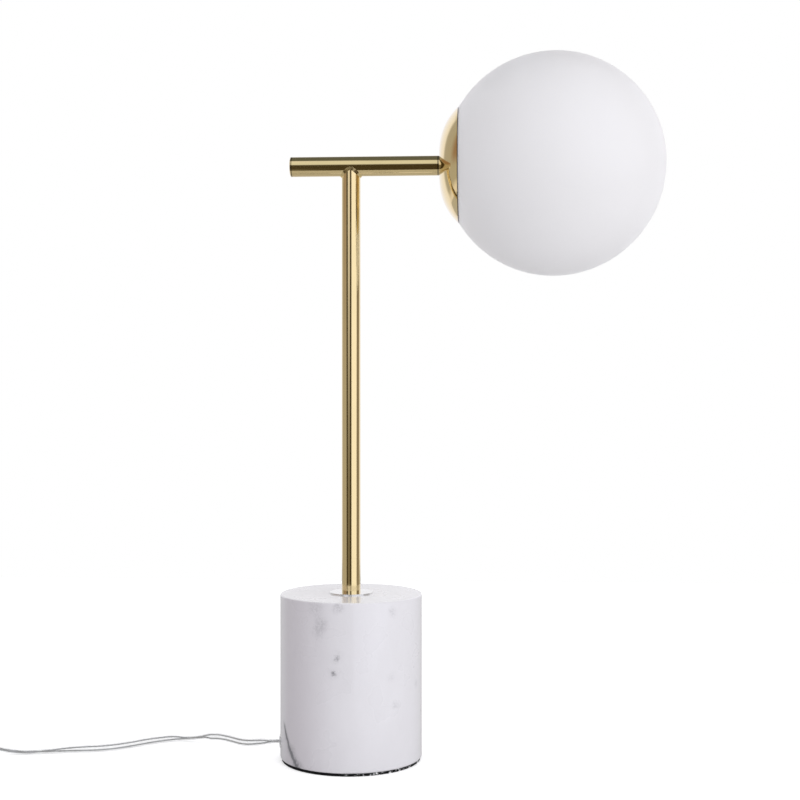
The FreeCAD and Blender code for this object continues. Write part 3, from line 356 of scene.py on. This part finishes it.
class Finish(Nodes):
    """A node-built surface: one Principled shader and the nodes that vary it over the piece."""

    def __init__(self, name, colour, roughness, **sockets):
        self.material = bpy.data.materials.new(name)
        self.material.use_nodes = True
        super().__init__(self.material.node_tree)
        self.surface = self.tree.nodes["Principled BSDF"]
        self.place = self.add("TexCoord").outputs["Object"]
        self.colour = (*colour, 1.0)
        self.set("Base Color", self.colour)
        self.set("Roughness", roughness)
        for socket, value in sockets.items():
            self.set(socket.replace("_", " "), value)

    def set(self, socket, value):
        self.feed(self.surface.inputs[socket], value)

    def stretched(self, stretch):
        return self.vector("MULTIPLY", self.place, stretch)

    def axis(self, index):
        return self.add("SeparateXYZ", {0: self.place}).outputs[index]

    def tinted(self, share):
        """The ground colour, darker by a share."""
        return tuple(part * (1.0 - share) for part in self.colour[:3]) + (1.0,)

    def mottle(self, scale, share):
        """Uneven colour: patches darker by a share."""
        patches = self.smooth(self.noise(self.place, scale, 3.0), 0.35, 0.7)
        self.set("Base Color", self.mix(patches, self.colour, self.tinted(share)))

    def polish(self, scale, low, high):
        """Uneven gloss: roughness between low and high."""
        patches = self.noise(self.place, scale, 3.0)
        self.set("Roughness", self.smooth(patches, 0.3, 0.7, low, high))

    def relief(self, scale, depth):
        """Fine unevenness of the surface, of a depth in metres."""
        self.bump(self.noise(self.place, scale), depth)

    def bump(self, height, depth):
        inputs = {"Height": height, "Distance": depth, "Strength": 1.0}
        self.set("Normal", self.add("Bump", inputs).outputs[0])


# ---- finishes: the record's materials, brass brushed three ways, and the tinned strands ----
def finishes():
    return bpy.context.scene.lamp_finishes


def stone_ground(stone, where, colours):
    """The marble's ground: soft clouds, painted shade on the side turned from the key light,
    painted light on the top face and fine crystals.
    """
    cloud, painted_shade = (*colours.stone_cloud, 1.0), (*colours.stone_painted_shade, 1.0)
    clouds = stone.noise(stone.stretched((1.0, 1.0, 0.45)), 22.0, 4.0, 0.55, 0.8)
    ground = stone.mix(stone.smooth(clouds, 0.34, 0.74, 0.0, 0.16), stone.colour, cloud)
    # Painted shade: the side turned from the key light is darkened towards the shade colour.
    edge = stone.smooth(stone.vector("DOT_PRODUCT", where, PAINTED_SHADE_EDGE_WAY), *PAINTED_SHADE_EDGE)
    side = stone.smooth(stone.vector("DOT_PRODUCT", where, PAINTED_SHADE_SIDE_WAY), *PAINTED_SHADE_SIDE)
    rim = stone.smooth(stone.axis(0), *PAINTED_SHADE_RIM)
    shade = stone.math("MULTIPLY", stone.math("MULTIPLY", edge, side), rim)
    ground = stone.mix(shade, ground, painted_shade)
    # Painted light: the top face is made paler.
    top = stone.smooth(stone.axis(2), *(MARBLE_HIGH.z - depth for depth in TOP_PAINTED_LIGHT_DEPTHS))
    ground = stone.mix(stone.math("MULTIPLY", top, TOP_PAINTED_LIGHT_SHARE), ground, TOP_PAINTED_LIGHT_COLOUR)
    crystals = stone.noise(stone.place, 950.0, 3.0, 0.7)
    return stone.mix(stone.smooth(crystals, 0.5, 0.85, 0.0, 0.12), ground, cloud)


def stone_marks(stone, where):
    """How strongly a mark, a speck or a vein, shows at each place of the marble."""
    marks = 0.0
    grit = stone.smooth(stone.noise(stone.place, 620.0, 3.0, 0.7), 0.38, 0.62, 0.25, 1.0)
    for heading, height, reach, strength in STONE_SPECKS:
        spot = way(heading) * MARBLE_RADIUS + UP * height
        away = stone.vector("DISTANCE", where, spot)
        mark = stone.math("MULTIPLY", stone.smooth(away, reach, 0.0, 0.0, strength), grit)
        marks = stone.math("ADD", marks, mark)
    for point, normal, reach, strength in STONE_VEINS:
        offset = stone.vector("SUBTRACT", where, point)
        off = stone.vector("DOT_PRODUCT", offset, Vector(normal).normalized())
        apart = stone.math("ABSOLUTE", off)
        away = stone.vector("DISTANCE", stone.place, point)
        here = stone.smooth(away, reach, reach * 0.55, 0.0, strength)
        line = stone.smooth(apart, *VEIN_CORE, 0.0, 0.95)
        halo = stone.smooth(apart, VEIN_HALO, 0.0, 0.0, 0.30)
        mark = stone.math("MULTIPLY", stone.math("ADD", line, halo), here)
        marks = stone.math("ADD", marks, mark)
    return stone.math("MINIMUM", marks, MARK_LIMIT)


def marble():
    colours = finishes()
    stone = Finish("marble", colours.stone, 0.3, IOR=1.5, Coat_Weight=0.45, Coat_Roughness=0.05)
    waves = stone.add(
        "TexNoise", {"Vector": stone.place, "Scale": STONE_WANDER_SCALE, "Detail": 4.0},
    ).outputs[1]
    where = stone.add(
        "VectorMath", {0: waves, 1: (STONE_WANDER,) * 3, 2: stone.place},
        operation="MULTIPLY_ADD",
    ).outputs[0]
    where = stone.vector("SUBTRACT", where, (STONE_WANDER / 2,) * 3)
    ground = stone_ground(stone, where, colours)
    marks = stone_marks(stone, where)
    stone.set("Base Color", stone.mix(marks, ground, (*colours.stone_mark, 1.0)))
    stone.polish(40.0, 0.26, 0.36)
    stone.relief(700.0, 0.000012)
    return stone.material


def brass(name, stretch, spun=False, seams_and_rim_shade=()):
    """Polished, lacquered brass, finely brushed along the way in which the stretch is small."""
    metal = Finish(name, finishes().brass, 0.16, Metallic=1.0, Coat_Weight=1.0, Coat_Roughness=0.05)
    where = metal.stretched(stretch)
    if spun:
        flat = metal.vector("SUBTRACT", metal.place, (0.0, 0.0, ARM_HEIGHT))
        across = metal.vector("LENGTH", metal.vector("MULTIPLY", flat, (0.0, 1.0, 1.0)))
        where = metal.add("CombineXYZ", {0: across, 1: metal.axis(0)}).outputs[0]
    lines = metal.noise(where, BRUSH_SCALE, 3.0, 0.6)
    patches = metal.noise(metal.place, 26.0, 3.0, 0.6)
    darker = metal.smooth(patches, 0.35, 0.75, 0.0, 0.5)
    colour = metal.mix(darker, metal.colour, metal.tinted(0.08))
    # Dark lines across the metal: joints between two pieces, and at the dish's rim painted shade of
    # its rolled edge.
    for dark_line_place in seams_and_rim_shade:
        off = metal.math("ABSOLUTE", metal.math("SUBTRACT", metal.axis(0), dark_line_place))
        line = metal.smooth(off, SEAM_AND_RIM_SHADE_WIDTH, SEAM_AND_RIM_SHADE_WIDTH / 3, 0.0, SEAM_AND_RIM_SHADE_STRENGTH)
        colour = metal.mix(line, colour, SEAM_AND_RIM_SHADE_COLOUR)
    metal.set("Base Color", colour)
    brushed = metal.smooth(lines, 0.3, 0.7, *BRASS_ROUGHNESS)
    metal.set("Roughness", metal.math("ADD", brushed, metal.math("MULTIPLY", darker, 0.04)))
    metal.bump(lines, BRUSH_DEPTH)
    return metal.material


def brazed():
    metal = Finish("braze", finishes().brass, 0.24, Metallic=1.0)
    metal.mottle(420.0, 0.16)
    metal.polish(700.0, 0.16, 0.30)
    metal.relief(900.0, 0.00002)
    return metal.material


def opal_glass():
    glass = Finish("opal_glass", finishes().opal, 0.42, IOR=1.5, Subsurface_Weight=0.55)
    glass.set("Subsurface Radius", (0.012, 0.012, 0.012))
    glass.set("Subsurface Scale", 1.0)
    glass.mottle(9.0, 0.02)
    glass.polish(30.0, 0.38, 0.48)
    glass.relief(1800.0, 0.000004)
    return glass.material


def clear_cord():
    cover = Finish("clear_cord", finishes().cord_clear, 0.16, IOR=1.5, Alpha=0.24)
    cover.mottle(160.0, 0.06)
    cover.polish(240.0, 0.10, 0.24)
    cover.relief(500.0, 0.00003)
    return cover.material


def plated(name, colour, low, high, spangle):
    metal = Finish(name, colour, high, Metallic=1.0)
    metal.mottle(spangle, 0.10)
    metal.polish(spangle * 1.7, low, high)
    metal.relief(spangle * 5.0, 0.000004)
    return metal.material


def moulded(name, colour, low, high, grain, depth, alpha):
    plastic = Finish(name, colour, high, IOR=1.46, Alpha=alpha)
    plastic.mottle(60.0, 0.04)
    plastic.polish(90.0, low, high)
    plastic.relief(grain, depth)
    return plastic.material


def foam():
    rubber = Finish("foot_pad", FOAM_COLOUR, 0.9, IOR=1.3)
    cells = rubber.noise(rubber.place, 2600.0, 3.0, 0.7)
    # Pale flecks, only on the side given by the x range.
    flecks = rubber.smooth(rubber.noise(rubber.place, 430.0, 3.0, 0.75), 0.55, 0.60)
    speck = rubber.math("MULTIPLY", flecks, rubber.smooth(rubber.axis(0), *PALE_FLECK_SIDE))
    rubber.set("Base Color", rubber.mix(speck, rubber.colour, PALE_FLECK_COLOUR))
    rubber.bump(cells, 0.00012)
    return rubber.material


SPECIAL_FINISHES = {
    "marble": marble,
    "foot_pad": foam,
    "brass": lambda: brass("brass", (1.0, 1.0, 0.008)),
    "brass_level": lambda: brass(
        "brass_level", (0.008, 1.0, 1.0), seams_and_rim_shade=(ARM_LOW.x, COLLAR_LOW.x, COLLAR_HIGH.x),
    ),
    # The line at the dish's rim is painted shade of its rolled edge; the other line is a joint.
    "brass_spun": lambda: brass(
        "brass_spun", (1.0, 1.0, 1.0), spun=True, seams_and_rim_shade=(ARM_LOW.x, DISH_HIGH.x),
    ),
    "braze": brazed,
    "opal_glass": opal_glass,
    "clear_cord": clear_cord,
}
PLATED_FINISHES = {
    # colour, least and most roughness, scale of the spangle
    "nickel": ((0.86, 0.86, 0.85), 0.10, 0.18, 300.0),
    "zinc_steel": ((0.60, 0.62, 0.64), 0.28, 0.46, 300.0),
    "spring_steel": ((0.52, 0.53, 0.55), 0.20, 0.34, 300.0),
    "contact_brass": ((0.76, 0.58, 0.30), 0.22, 0.38, 300.0),
    "bulb_cap_metal": ((0.80, 0.80, 0.80), 0.22, 0.36, 300.0),
    "pin_metal": ((0.78, 0.77, 0.75), 0.14, 0.26, 600.0),
    "tinned_strands": ((0.46, 0.46, 0.47), 0.26, 0.42, 900.0),
}
MOULDED_FINISHES = {
    # colour, least and most roughness, scale and depth of the grain, opacity
    "clear_plastic": ((0.88, 0.88, 0.89), 0.10, 0.22, 1500.0, 0.000008, 0.25),
    "black_nylon": ((0.014, 0.014, 0.015), 0.36, 0.52, 1500.0, 0.000008, 1.0),
    "white_silicone": ((0.72, 0.72, 0.70), 0.50, 0.66, 1500.0, 0.000008, 1.0),
    "holder_plastic": ((0.018, 0.018, 0.019), 0.24, 0.40, 1500.0, 0.000008, 1.0),
    "porcelain": ((0.76, 0.74, 0.70), 0.42, 0.60, 700.0, 0.00003, 1.0),
    "bulb_plastic": ((0.78, 0.78, 0.77), 0.26, 0.38, 1500.0, 0.000008, 1.0),
    "bulb_glass": ((0.82, 0.82, 0.80), 0.34, 0.46, 1500.0, 0.000008, 1.0),
    "wire_brown": ((0.10, 0.035, 0.015), 0.30, 0.44, 1500.0, 0.000008, 1.0),
    "wire_blue": ((0.02, 0.07, 0.30), 0.30, 0.44, 1500.0, 0.000008, 1.0),
    "tie_plastic": ((0.76, 0.76, 0.76), 0.24, 0.38, 2200.0, 0.000008, 1.0),
    "switch_plastic": ((0.76, 0.76, 0.74), 0.30, 0.44, 2400.0, 0.00001, 1.0),
    "rocker_plastic": ((0.80, 0.80, 0.78), 0.18, 0.28, 1500.0, 0.000008, 1.0),
    "plug_plastic": ((0.76, 0.76, 0.74), 0.40, 0.54, 2000.0, 0.00002, 1.0),
    "sleeve_plastic": ((0.014, 0.014, 0.015), 0.34, 0.48, 1500.0, 0.000008, 1.0),
}
MADE = {}


def finish(name):
    """The named finish, made once and shared by the pieces that have it."""
    if name not in MADE:
        if name in PLATED_FINISHES:
            MADE[name] = plated(name, *PLATED_FINISHES[name])
        elif name in MOULDED_FINISHES:
            MADE[name] = moulded(name, *MOULDED_FINISHES[name])
        else:
            MADE[name] = SPECIAL_FINISHES[name]()
    return MADE[name]


def dress(*nodes, finish_name=None):
    """Gives carried-over CAD nodes their finish: the record's slot, or one named here."""
    slots = {part["node"]: part["material_slot"] for part in frame["record"]["subparts"]}
    for node in nodes:
        mesh = frame["nodes"][node].data
        mesh.materials.clear()
        mesh.materials.append(finish(finish_name or slots[node]))


# ---- mesh work ----
def make_piece(name, vertices, faces, finish_name, sharp=35.0, replaces=()):
    """A smooth mesh piece on the root body, in its finish and slot, in place of the nodes named."""
    mesh = bpy.data.meshes.new(name)
    mesh.from_pydata([tuple(vertex) for vertex in vertices], [], faces)
    work = bmesh.new()
    work.from_mesh(mesh)
    bmesh.ops.recalc_face_normals(work, faces=work.faces)
    work.to_mesh(mesh)
    work.free()
    mesh.shade_smooth()
    mesh.set_sharp_from_angle(angle=math.radians(sharp))
    mesh.materials.append(finish(finish_name))
    piece = bpy.data.objects.new(name, mesh)
    bpy.context.scene.collection.objects.link(piece)
    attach(piece, "root")
    if replaces:
        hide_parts(*replaces)
    return piece


# ---- the cord ----
def coil_points(looseness):
    """Turns wound inward along the table and outward again on top of themselves."""
    points = []
    steps = round(COIL_TURNS * COIL_POINTS_PER_TURN)
    for step in range(1, steps + 1):
        turns = step / COIL_POINTS_PER_TURN
        inward = 1.0 - abs(1.0 - 2.0 * turns / COIL_TURNS)
        fade = math.sin(math.pi * step / steps)
        slow, fast = COIL_SLOW_WAVE * turns, COIL_FAST_WAVE * turns + COIL_WAVE_SHIFT
        stray = looseness * fade * math.sin(slow) * math.cos(fast)
        radius = COIL_OUTER - (COIL_OUTER - COIL_INNER) * inward + stray
        climb = min(max(turns - COIL_TURNS / 2 + 0.5, 0.0), 1.0)
        climb = climb * climb * (3.0 - 2.0 * climb)
        height = COIL_LAYERS[0] + (COIL_LAYERS[1] - COIL_LAYERS[0]) * climb
        turn = -math.pi / 2 - 2.0 * math.pi * turns
        spoke = Vector((math.cos(turn) * radius, math.sin(turn) * radius, height))
        points.append(COIL_CENTRE + spoke)
    return points


def cord_route(looseness):
    """The control points of the cord's line, from the stone to the plug."""
    start = way(EXIT_HEADING) * EXIT_REACH + UP * EXIT_HEIGHT
    route = [start, start + way(EXIT_HEADING) * EXIT_RUN]
    route += [Vector(point) for point in TABLE_POINTS]
    route += [SWITCH_CENTRE + way(SWITCH_HEADING) * run for run in SWITCH_RUNS]
    route += [Vector(point) for point in COIL_APPROACH]
    route += coil_points(looseness)
    route += [Vector(COIL_END), PLUG_TAIL - way(PLUG_HEADING) * PLUG_RUN, PLUG_TAIL]
    return route


def smooth_line(points):
    """Points along the NURBS spline that has these control points."""
    curve = bpy.data.curves.new("cord_line", "CURVE")
    curve.dimensions = "3D"
    spline = curve.splines.new("NURBS")
    spline.points.add(len(points) - 1)
    for spot, point in zip(spline.points, points):
        spot.co = (*point, 1.0)
    spline.order_u = 3
    spline.use_endpoint_u = True
    spline.resolution_u = 6
    holder = bpy.data.objects.new("cord_line", curve)
    mesh = bpy.data.meshes.new_from_object(holder)
    line = [vertex.co.copy() for vertex in mesh.vertices]
    bpy.data.objects.remove(holder)
    bpy.data.curves.remove(curve)
    bpy.data.meshes.remove(mesh)
    return line


def between(keys, place):
    """Value at a place among (place, value) keys, with smooth steps from key to key."""
    for (start, low), (end, high) in zip(keys, keys[1:]):
        if place <= end:
            share = min(max((place - start) / (end - start), 0.0), 1.0)
            return low + (high - low) * share * share * (3.0 - 2.0 * share)
    return keys[-1][1]


class CordLine:
    """The cord's centreline and, at each point, its distance along and the ways across and up."""

    def __init__(self, points, thickness):
        self.points = []
        self.places = []
        self.across = []
        self.upward = []
        place = 0.0
        for index, point in enumerate(points):
            before = points[max(index - 1, 0)]
            after = points[min(index + 1, len(points) - 1)]
            place += (point - before).length
            ahead = (after - before).normalized()
            side = UP.cross(ahead).normalized()
            rise = ahead.cross(side)
            tilt = math.radians(between(CORD_TILTS, place))
            across = side * math.cos(tilt) + rise * math.sin(tilt)
            lies = (LIES_BELOW * thickness - point.z) / (LIES_OVER * thickness)
            lies = min(max(lies, 0.0), 1.0)
            drop = lies * (thickness / 2) * (1.0 - abs(math.sin(tilt)))
            self.points.append(point - UP * drop)
            self.places.append(place)
            self.across.append(across)
            self.upward.append(ahead.cross(across))

    def sweep(self, section):
        """Vertices and faces of a closed outline, section(place), carried along the line."""
        vertices = []
        for point, place, across, upward in zip(self.points, self.places, self.across, self.upward):
            outline = section(place)
            vertices += [point + across * x + upward * y for x, y in outline]
        count = len(outline)
        faces = [tuple(range(count)), tuple(range(len(vertices) - count, len(vertices)))]
        for ring in range(0, len(vertices) - count, count):
            for step in range(count):
                other = (step + 1) % count
                faces.append((ring + step, ring + other, ring + count + other, ring + count + step))
        return vertices, faces


def twin_outline(thickness, web, steps=12):
    """Two round lobes joined by a thin web."""
    lobe = thickness / 2
    open_turn = math.pi - math.asin(web / thickness)
    outline = []
    for side in (1.0, -1.0):
        for step in range(steps + 1):
            turn = open_turn * (2.0 * step / steps - 1.0)
            outline.append((side * (lobe + lobe * math.cos(turn)), side * lobe * math.sin(turn)))
    return outline


def strand_outline(offset, radius, lay, strands=7):
    """Outline, at a place along the cord, of a bundle of strands that turn about each other."""
    def section(place):
        outline = []
        for step in range(2 * strands):
            turn = math.pi * step / strands
            reach = radius * (1.0 if step % 2 else 0.86)
            spin = turn + 2.0 * math.pi * place / lay
            outline.append((offset + reach * math.cos(spin), reach * math.sin(spin)))
        return outline
    return section


def make_cord(sizes):
    line = CordLine(smooth_line(cord_route(sizes.coil_looseness)), sizes.cord_thickness)
    outline = twin_outline(sizes.cord_thickness, sizes.cord_web)
    vertices, faces = line.sweep(lambda place: outline)
    nodes = ("cord_lamp_side", "cord_switch_side", "cord_plug_side", "cord_coil")
    cover = make_piece("cord_cover", vertices, faces, "clear_cord", sharp=60.0, replaces=nodes)
    lobe = sizes.cord_thickness / 2
    for name, offset in (("cord_strands_live", lobe), ("cord_strands_neutral", -lobe)):
        section = strand_outline(offset, sizes.strand_radius, sizes.strand_lay)
        vertices, faces = line.sweep(section)
        make_piece(
            name, vertices, faces, "tinned_strands", sharp=60.0,
        )
    riders = ["switch_lower", "switch_upper", "switch_rocker", "switch_contacts", "switch_screws"]
    riders += ["plug_body", "plug_pins", "plug_sleeves", "coil_tie"]


# ---- the base ----
def make_pad(sizes):
    """Foam pad whose cut edge wanders a little in and out."""
    around = PAD_STEPS
    radius = PAD_HIGH.x
    low, high = PAD_LOW.z, PAD_HIGH.z
    thickness = high - low
    # ring: share of the radius kept, height, share of the raggedness
    rings = (
        (0.55, low, 0.0), (0.965, low, 0.0), (0.992, low, 0.5),
        (1.0, low + 0.3 * thickness, 1.0), (1.0, low + 0.62 * thickness, 1.0),
        (0.997, high, 0.6), (0.96, high, 0.0), (0.55, high, 0.0),
    )
    vertices = []
    for share, height, ragged in rings:
        for step in range(around):
            turn = 2.0 * math.pi * step / around
            spot = Vector((math.cos(turn), math.sin(turn), height * PAD_WAVE_RISE))
            wander = sum(noise.noise(spot * wave) * part for wave, part in PAD_WAVES)
            reach = radius * share + sizes.pad_raggedness * ragged * wander
            vertices.append((math.cos(turn) * reach, math.sin(turn) * reach, height))
    faces = []
    for ring in range(len(rings) - 1):
        for step in range(around):
            here, there = ring * around + step, ring * around + (step + 1) % around
            faces.append((here, there, there + around, here + around))
    first, last = list(range(around)), list(range(len(vertices) - around, len(vertices)))
    faces += [tuple(first), tuple(last)]
    return make_piece("foam_pad", vertices, faces, "foot_pad", replaces=("foot_pad",))


# ---- the stage ----
def plain_material(name, tree_maker):
    material = bpy.data.materials.new(name)
    material.use_nodes = True
    nodes = Nodes(material.node_tree)
    material.node_tree.nodes.clear()
    shader = tree_maker(nodes)
    nodes.add("OutputMaterial", {"Surface": shader})
    return material


def make_floor(glow):
    """White table round the lamp; what it adds to meet the white room shows only to the eye."""
    (left, right), (front, back) = TABLE_X, TABLE_Y
    corners = [(left, front, 0), (right, front, 0), (right, back, 0), (left, back, 0)]
    mesh = bpy.data.meshes.new("table")
    mesh.from_pydata(corners, [], [(0, 1, 2, 3)])

    def shader(nodes):
        rays = nodes.add("LightPath").outputs
        colour = nodes.mix(rays["Is Glossy Ray"], TABLE_COLOUR, TABLE_IN_METAL)
        lit = nodes.add("BsdfDiffuse", {"Color": colour})
        seen = nodes.math("MAXIMUM", rays["Is Camera Ray"], rays["Is Transmission Ray"])
        level = nodes.math("MULTIPLY", seen, glow)
        own = nodes.add("Emission", {"Color": WHITE, "Strength": level})
        return nodes.add("AddShader", {0: lit.outputs[0], 1: own.outputs[0]}).outputs[0]

    mesh.materials.append(plain_material("table_white", shader))
    table = bpy.data.objects.new("table", mesh)
    bpy.context.scene.collection.objects.link(table)


def panel_mask(nodes, bearing, height, panel):
    """1 inside a panel of the studio and 0 outside it, with soft edges."""
    start, end, low, high, soft_round, soft_up, _ = panel
    sides = (
        nodes.smooth(bearing, start - soft_round, start + soft_round),
        nodes.smooth(bearing, end + soft_round, end - soft_round),
        nodes.smooth(height, low - soft_up, low + soft_up),
        nodes.smooth(height, high + soft_up, high - soft_up),
    )
    mask = sides[0]
    for side in sides[1:]:
        mask = nodes.math("MULTIPLY", mask, side)
    return mask


def make_world(ambient):
    """White room for the eye and through glass, its panels in the metal, and even soft light."""
    world = bpy.data.worlds.new("studio")
    world.use_nodes = True
    bpy.context.scene.world = world
    nodes = Nodes(world.node_tree)
    world.node_tree.nodes.clear()
    direction = nodes.add("TexCoord").outputs["Generated"]
    to_front = nodes.vector("DOT_PRODUCT", direction, STUDIO_FRONT)
    to_right = nodes.vector("DOT_PRODUCT", direction, STUDIO_RIGHT)
    bearing = nodes.math("DEGREES", nodes.math("ARCTAN2", to_right, to_front))
    rise = nodes.add("SeparateXYZ", {0: direction}).outputs[2]
    height = nodes.math("DEGREES", nodes.math("ARCSINE", rise))
    room = STUDIO_WHITE
    for panel in STUDIO_PANELS:
        room = nodes.mix(panel_mask(nodes, bearing, height, panel), room, (*panel[-1], 1.0))
    rays = nodes.add("LightPath").outputs
    white_rays = nodes.math("MAXIMUM", rays["Is Camera Ray"], rays["Is Transmission Ray"])
    soft = (ambient, ambient, ambient * AMBIENT_BLUE, 1.0)
    colour = nodes.mix(rays["Is Glossy Ray"], soft, room)
    colour = nodes.mix(white_rays, colour, WHITE)
    light = nodes.add("Background", {"Color": colour, "Strength": 1.0})
    nodes.add("OutputWorld", {"Surface": light.outputs[0]})


def make_key(power):
    data = bpy.data.lights.new("key_softbox", "AREA")
    data.shape = "SQUARE"
    data.size = KEY_SIZE
    data.energy = power
    key = bpy.data.objects.new("key_softbox", data)
    bearing, height = math.radians(KEY_BEARING), math.radians(KEY_HEIGHT)
    toward = STUDIO_FRONT * math.cos(bearing) + STUDIO_RIGHT * math.sin(bearing)
    key.location = KEY_TARGET + (toward * math.cos(height) + UP * math.sin(height)) * KEY_AWAY
    key.rotation_euler = (KEY_TARGET - key.location).to_track_quat("-Z", "Y").to_euler()
    key.visible_glossy = False
    key.visible_camera = False
    bpy.context.scene.collection.objects.link(key)


def make_camera(stage):
    data = bpy.data.cameras.new("camera")
    data.sensor_width = SENSOR_WIDTH
    data.lens = stage.camera_lens
    data.clip_start = CLIP_START
    camera = bpy.data.objects.new("camera", data)
    camera.location = stage.camera_place
    camera.rotation_euler = Vector(stage.camera_way).to_track_quat("-Z", "Y").to_euler()
    bpy.context.scene.collection.objects.link(camera)
    bpy.context.scene.camera = camera


# ---- operators ----
class LAMP_OT_stage(bpy.types.Operator):
    """Camera, white table, white room and key light"""
    bl_idname = "lamp.stage"
    bl_label = "Set the stage"

    def execute(self, context):
        stage = context.scene.lamp_stage
        context.scene.view_settings.view_transform = "Standard"
        make_camera(stage)
        make_floor(stage.floor_glow)
        make_world(stage.ambient)
        make_key(stage.key_power)
        return {"FINISHED"}


class LAMP_OT_cord(bpy.types.Operator):
    """Clear flat cord with its two conductors, from the base to the plug"""
    bl_idname = "lamp.cord"
    bl_label = "Lay the cord"

    def execute(self, context):
        make_cord(context.scene.lamp_sizes)
        dress("coil_tie", "cord_bush", "cord_grip", "inner_cord", "wire_live", "wire_neutral")
        return {"FINISHED"}


class LAMP_OT_base(bpy.types.Operator):
    """Marble, foam pad, top disc and the hardware that holds the pole"""
    bl_idname = "lamp.base"
    bl_label = "Finish the base"

    def execute(self, context):
        make_pad(context.scene.lamp_sizes)
        dress("marble_base", "top_disc", "base_rod", "base_washer", "base_lock_washer", "base_nut")
        return {"FINISHED"}


class LAMP_OT_tubes(bpy.types.Operator):
    """Brass pole, arm, cap, collar and the brazed joint"""
    bl_idname = "lamp.tubes"
    bl_label = "Finish the brass tubes"

    def execute(self, context):
        dress("pole_tube")
        dress("arm_tube", "arm_collar", finish_name="brass_level")
        dress("arm_end_cap", finish_name="brass_spun")
        dress("joint_braze")
        return {"FINISHED"}


class LAMP_OT_globe(bpy.types.Operator):
    """Brass dish, opal globe, and the springs and rod that hold them"""
    bl_idname = "lamp.globe"
    bl_label = "Finish the dish and globe"

    def execute(self, context):
        dress("dish", finish_name="brass_spun")
        dress("glass_globe", "globe_seal", "dish_rod", "dish_spacer", "spring_plate")
        dress("globe_springs", "spring_rivets", "dish_lock_washer", "dish_nut")
        return {"FINISHED"}


class LAMP_OT_bulb(bpy.types.Operator):
    """Lampholder and bulb inside the globe"""
    bl_idname = "lamp.bulb"
    bl_label = "Finish the lampholder and bulb"

    def execute(self, context):
        dress("holder_cap", "holder_body", "holder_core", "holder_shell", "holder_contact")
        dress("holder_screws", "bulb_tip", "bulb_cap", "bulb_body", "bulb_dome")
        return {"FINISHED"}


class LAMP_OT_switch(bpy.types.Operator):
    """In-line rocker switch on the cord"""
    bl_idname = "lamp.switch"
    bl_label = "Finish the switch"

    def execute(self, context):
        dress("switch_lower", "switch_upper", "switch_rocker", "switch_contacts", "switch_screws")
        return {"FINISHED"}


class LAMP_OT_plug(bpy.types.Operator):
    """Flat two-pin plug on the cord's end"""
    bl_idname = "lamp.plug"
    bl_label = "Finish the plug"

    def execute(self, context):
        dress("plug_body", "plug_pins", "plug_sleeves")
        return {"FINISHED"}


OPERATORS = (
    LAMP_OT_stage, LAMP_OT_cord, LAMP_OT_base, LAMP_OT_tubes,
    LAMP_OT_globe, LAMP_OT_bulb, LAMP_OT_switch, LAMP_OT_plug,
)


class LAMP_PT_panel(bpy.types.Panel):
    """Lists the lamp's sizes, finishes and pieces"""
    bl_label = "Globe lamp"
    bl_idname = "LAMP_PT_panel"
    bl_space_type = "VIEW_3D"
    bl_region_type = "UI"
    bl_category = "Lamp"

    def draw(self, context):
        scene = context.scene
        for group in (scene.lamp_sizes, scene.lamp_finishes, scene.lamp_stage):
            box = self.layout.box()
            for name in group.__annotations__:
                box.prop(group, name)
        for operator in OPERATORS:
            self.layout.operator(operator.bl_idname)


CLASSES = (LampSizes, LampFinishes, LampStage, *OPERATORS, LAMP_PT_panel)


def register():
    for kind in CLASSES:
        bpy.utils.register_class(kind)
    bpy.types.Scene.lamp_sizes = PointerProperty(type=LampSizes)
    bpy.types.Scene.lamp_finishes = PointerProperty(type=LampFinishes)
    bpy.types.Scene.lamp_stage = PointerProperty(type=LampStage)


def unregister():
    del bpy.types.Scene.lamp_stage
    del bpy.types.Scene.lamp_finishes
    del bpy.types.Scene.lamp_sizes
    for kind in reversed(CLASSES):
        bpy.utils.unregister_class(kind)


def main():
    register()
    for operator in OPERATORS:
        area, name = operator.bl_idname.split(".")
        getattr(getattr(bpy.ops, area), name)()
    bpy.context.view_layer.update()


if __name__ == "__main__":
    main()
